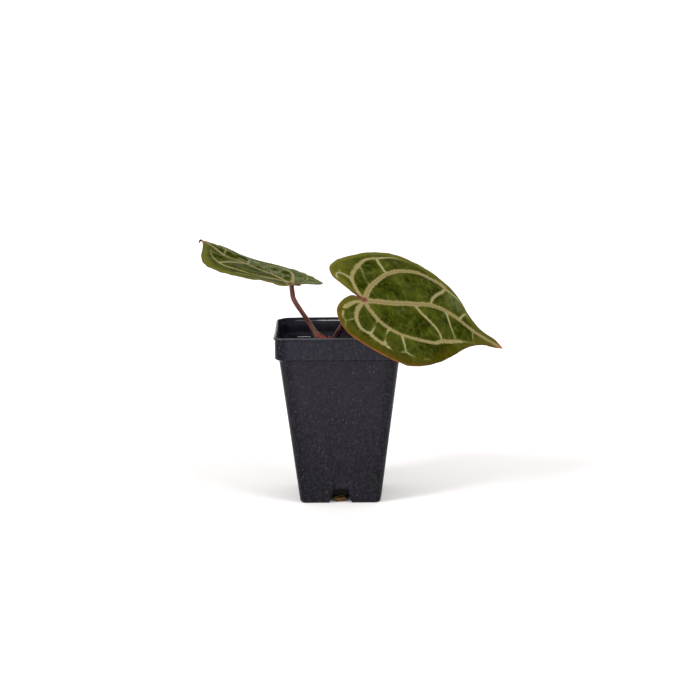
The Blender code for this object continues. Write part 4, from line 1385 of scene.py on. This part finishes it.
def make_mix():
    peat = grain_look("peat", (34, 24, 18), (92, 64, 44), 1.2, 0.95, 0.35, 0.9)
    bark = grain_look("bark", (60, 38, 26), (152, 104, 70), 0.9, 0.85, 0.3)
    perlite = grain_look("perlite", (206, 202, 190), (250, 248, 242), 0.7, 0.9, 0.25)
    fibre = grain_look("fibre", (78, 52, 32), (160, 120, 78), 0.8, 0.85, 0.1)
    make_mix_body(peat)
    scatter("mix_crumbs", peat, 900, (0.8, 2.0), (1.0, 1.0, 0.8), level=2, lean=90, seed=3)
    scatter("mix_bark", bark, 200, (2.4, 6.0), (1.0, 0.62, 0.34), level=3, lean=24, seed=5)
    scatter("mix_perlite", perlite, 95, (0.9, 2.6), (1.0, 0.9, 0.8), level=3, lean=90, seed=8, roughness=0.2)
    make_fibres(fibre)
    make_drain_bits(grain_look("drain bark", (42, 25, 7), (118, 84, 32), 0.9, 0.85, 0.25))


def make_plant():
    left_skin = stalk_look("left stalk skin", (110, 84, 68), (174, 138, 112), 0.5)
    # The right stalk is darker and redder toward its foot than the left: painted shade under the right leaf
    shaded_right_skin = stalk_look("right stalk skin", (40, 15, 20), (88, 46, 46), 0.75)
    ribs = rib_look()
    right_veins = moved(RIGHT_VEINS, RIGHT_VEIN_SHIFT)
    right_leaf = leaf_look("right leaf", (190, 106, 54), (76, 67, 8), 0.4)
    left_leaf = leaf_look("left leaf", (180, 118, 70, 1.5), (91, 96, 29), 0.3)
    make_blade("blade_right_leaf", RIGHT_BLADE, right_veins, right_leaf)
    make_blade("blade_left_leaf", LEFT_BLADE, LEFT_VEINS, left_leaf)
    make_ribs("ribs_right_leaf", RIGHT_BLADE, right_veins, ribs)
    make_ribs("ribs_left_leaf", LEFT_BLADE, LEFT_VEINS, ribs)
    make_stalk("stalk_of_left_leaf", LEFT_STALK, left_skin, "stalk_left")
    make_stalk("stalk_of_right_leaf", RIGHT_STALK, shaded_right_skin, "stalk_right")
    make_withered_tip(withered_look())
    make_crown(crown_look())
    red_scale = sheath_look("sheath skin", (92, 34, 38, 1.0), (160, 76, 72, 1.0))
    dark_scale = sheath_look("dark sheath skin", (52, 20, 22, 1.0), (104, 52, 48, 1.0))
    make_scale("sheath_scale", red_scale, *OUTER_SCALE, ["sheath"])
    make_scale("sheath_inner_scale", red_scale, *INNER_SCALE)
    make_scale("sheath_right_scale", dark_scale, *RIGHT_SCALE)


def add_lamp(name, heading, height, softness, strength):
    """A soft lamp far away. Heading 0 stands in front of the pot, and a positive one to its right."""
    lamp = bpy.data.lights.new(name, "SUN")
    lamp.energy = strength
    lamp.angle = math.radians(softness)
    turn, rise = math.radians(heading), math.radians(height)
    toward = Vector((math.sin(turn) * math.cos(rise), -math.cos(turn) * math.cos(rise), math.sin(rise)))
    made = placed(name, lamp)
    made.rotation_euler = toward.to_track_quat("Z", "Y").to_euler()
    made.location = toward


def set_sky():
    """White light from all round, brighter at the horizon than overhead."""
    world = bpy.data.worlds.new("studio sky")
    bpy.context.scene.world = world
    world.use_nodes = True
    nodes, links = world.node_tree.nodes, world.node_tree.links
    nodes["Background"].inputs["Color"].default_value = (1.0, 1.0, 1.0, 1.0)
    kinds = ("ShaderNodeTexCoord", "ShaderNodeSeparateXYZ", "ShaderNodeMapRange")
    direction, parts, slope = (nodes.new(kind) for kind in kinds)
    slope.inputs["To Min"].default_value = SKY_HORIZON
    slope.inputs["To Max"].default_value = SKY_ZENITH
    links.new(direction.outputs["Generated"], parts.inputs[0])
    links.new(parts.outputs["Z"], slope.inputs["Value"])
    links.new(slope.outputs["Result"], nodes["Background"].inputs["Strength"])


def make_floor():
    bm = bmesh.new()
    bmesh.ops.create_circle(bm, cap_ends=True, segments=96, radius=FLOOR_RADIUS * MM)
    mesh = mesh_of(bm, "floor")
    mesh.materials.append(floor_look())
    placed("floor", mesh)


def make_camera():
    lens = bpy.data.cameras.new("camera")
    lens.lens, lens.sensor_width = CAMERA_LENS, CAMERA_FILM
    lens.clip_start, lens.clip_end = CAMERA_RANGE
    camera = placed("camera", lens)
    camera.location = Vector(CAMERA_AT) * MM
    pitch = Matrix.Rotation(math.radians(90 - CAMERA_DOWN), 4, "X")
    lean = Matrix.Rotation(math.radians(-CAMERA_LEAN), 4, "Z")
    camera.rotation_euler = (pitch @ lean).to_euler()
    bpy.context.scene.camera = camera


make_camera()
make_floor()
set_sky()
add_lamp("key lamp", *KEY_LIGHT)
add_lamp("fill lamp", *FILL_LIGHT)
bpy.context.scene.view_settings.view_transform = "Standard"
make_pot(pot_look())
make_mix()
make_plant()
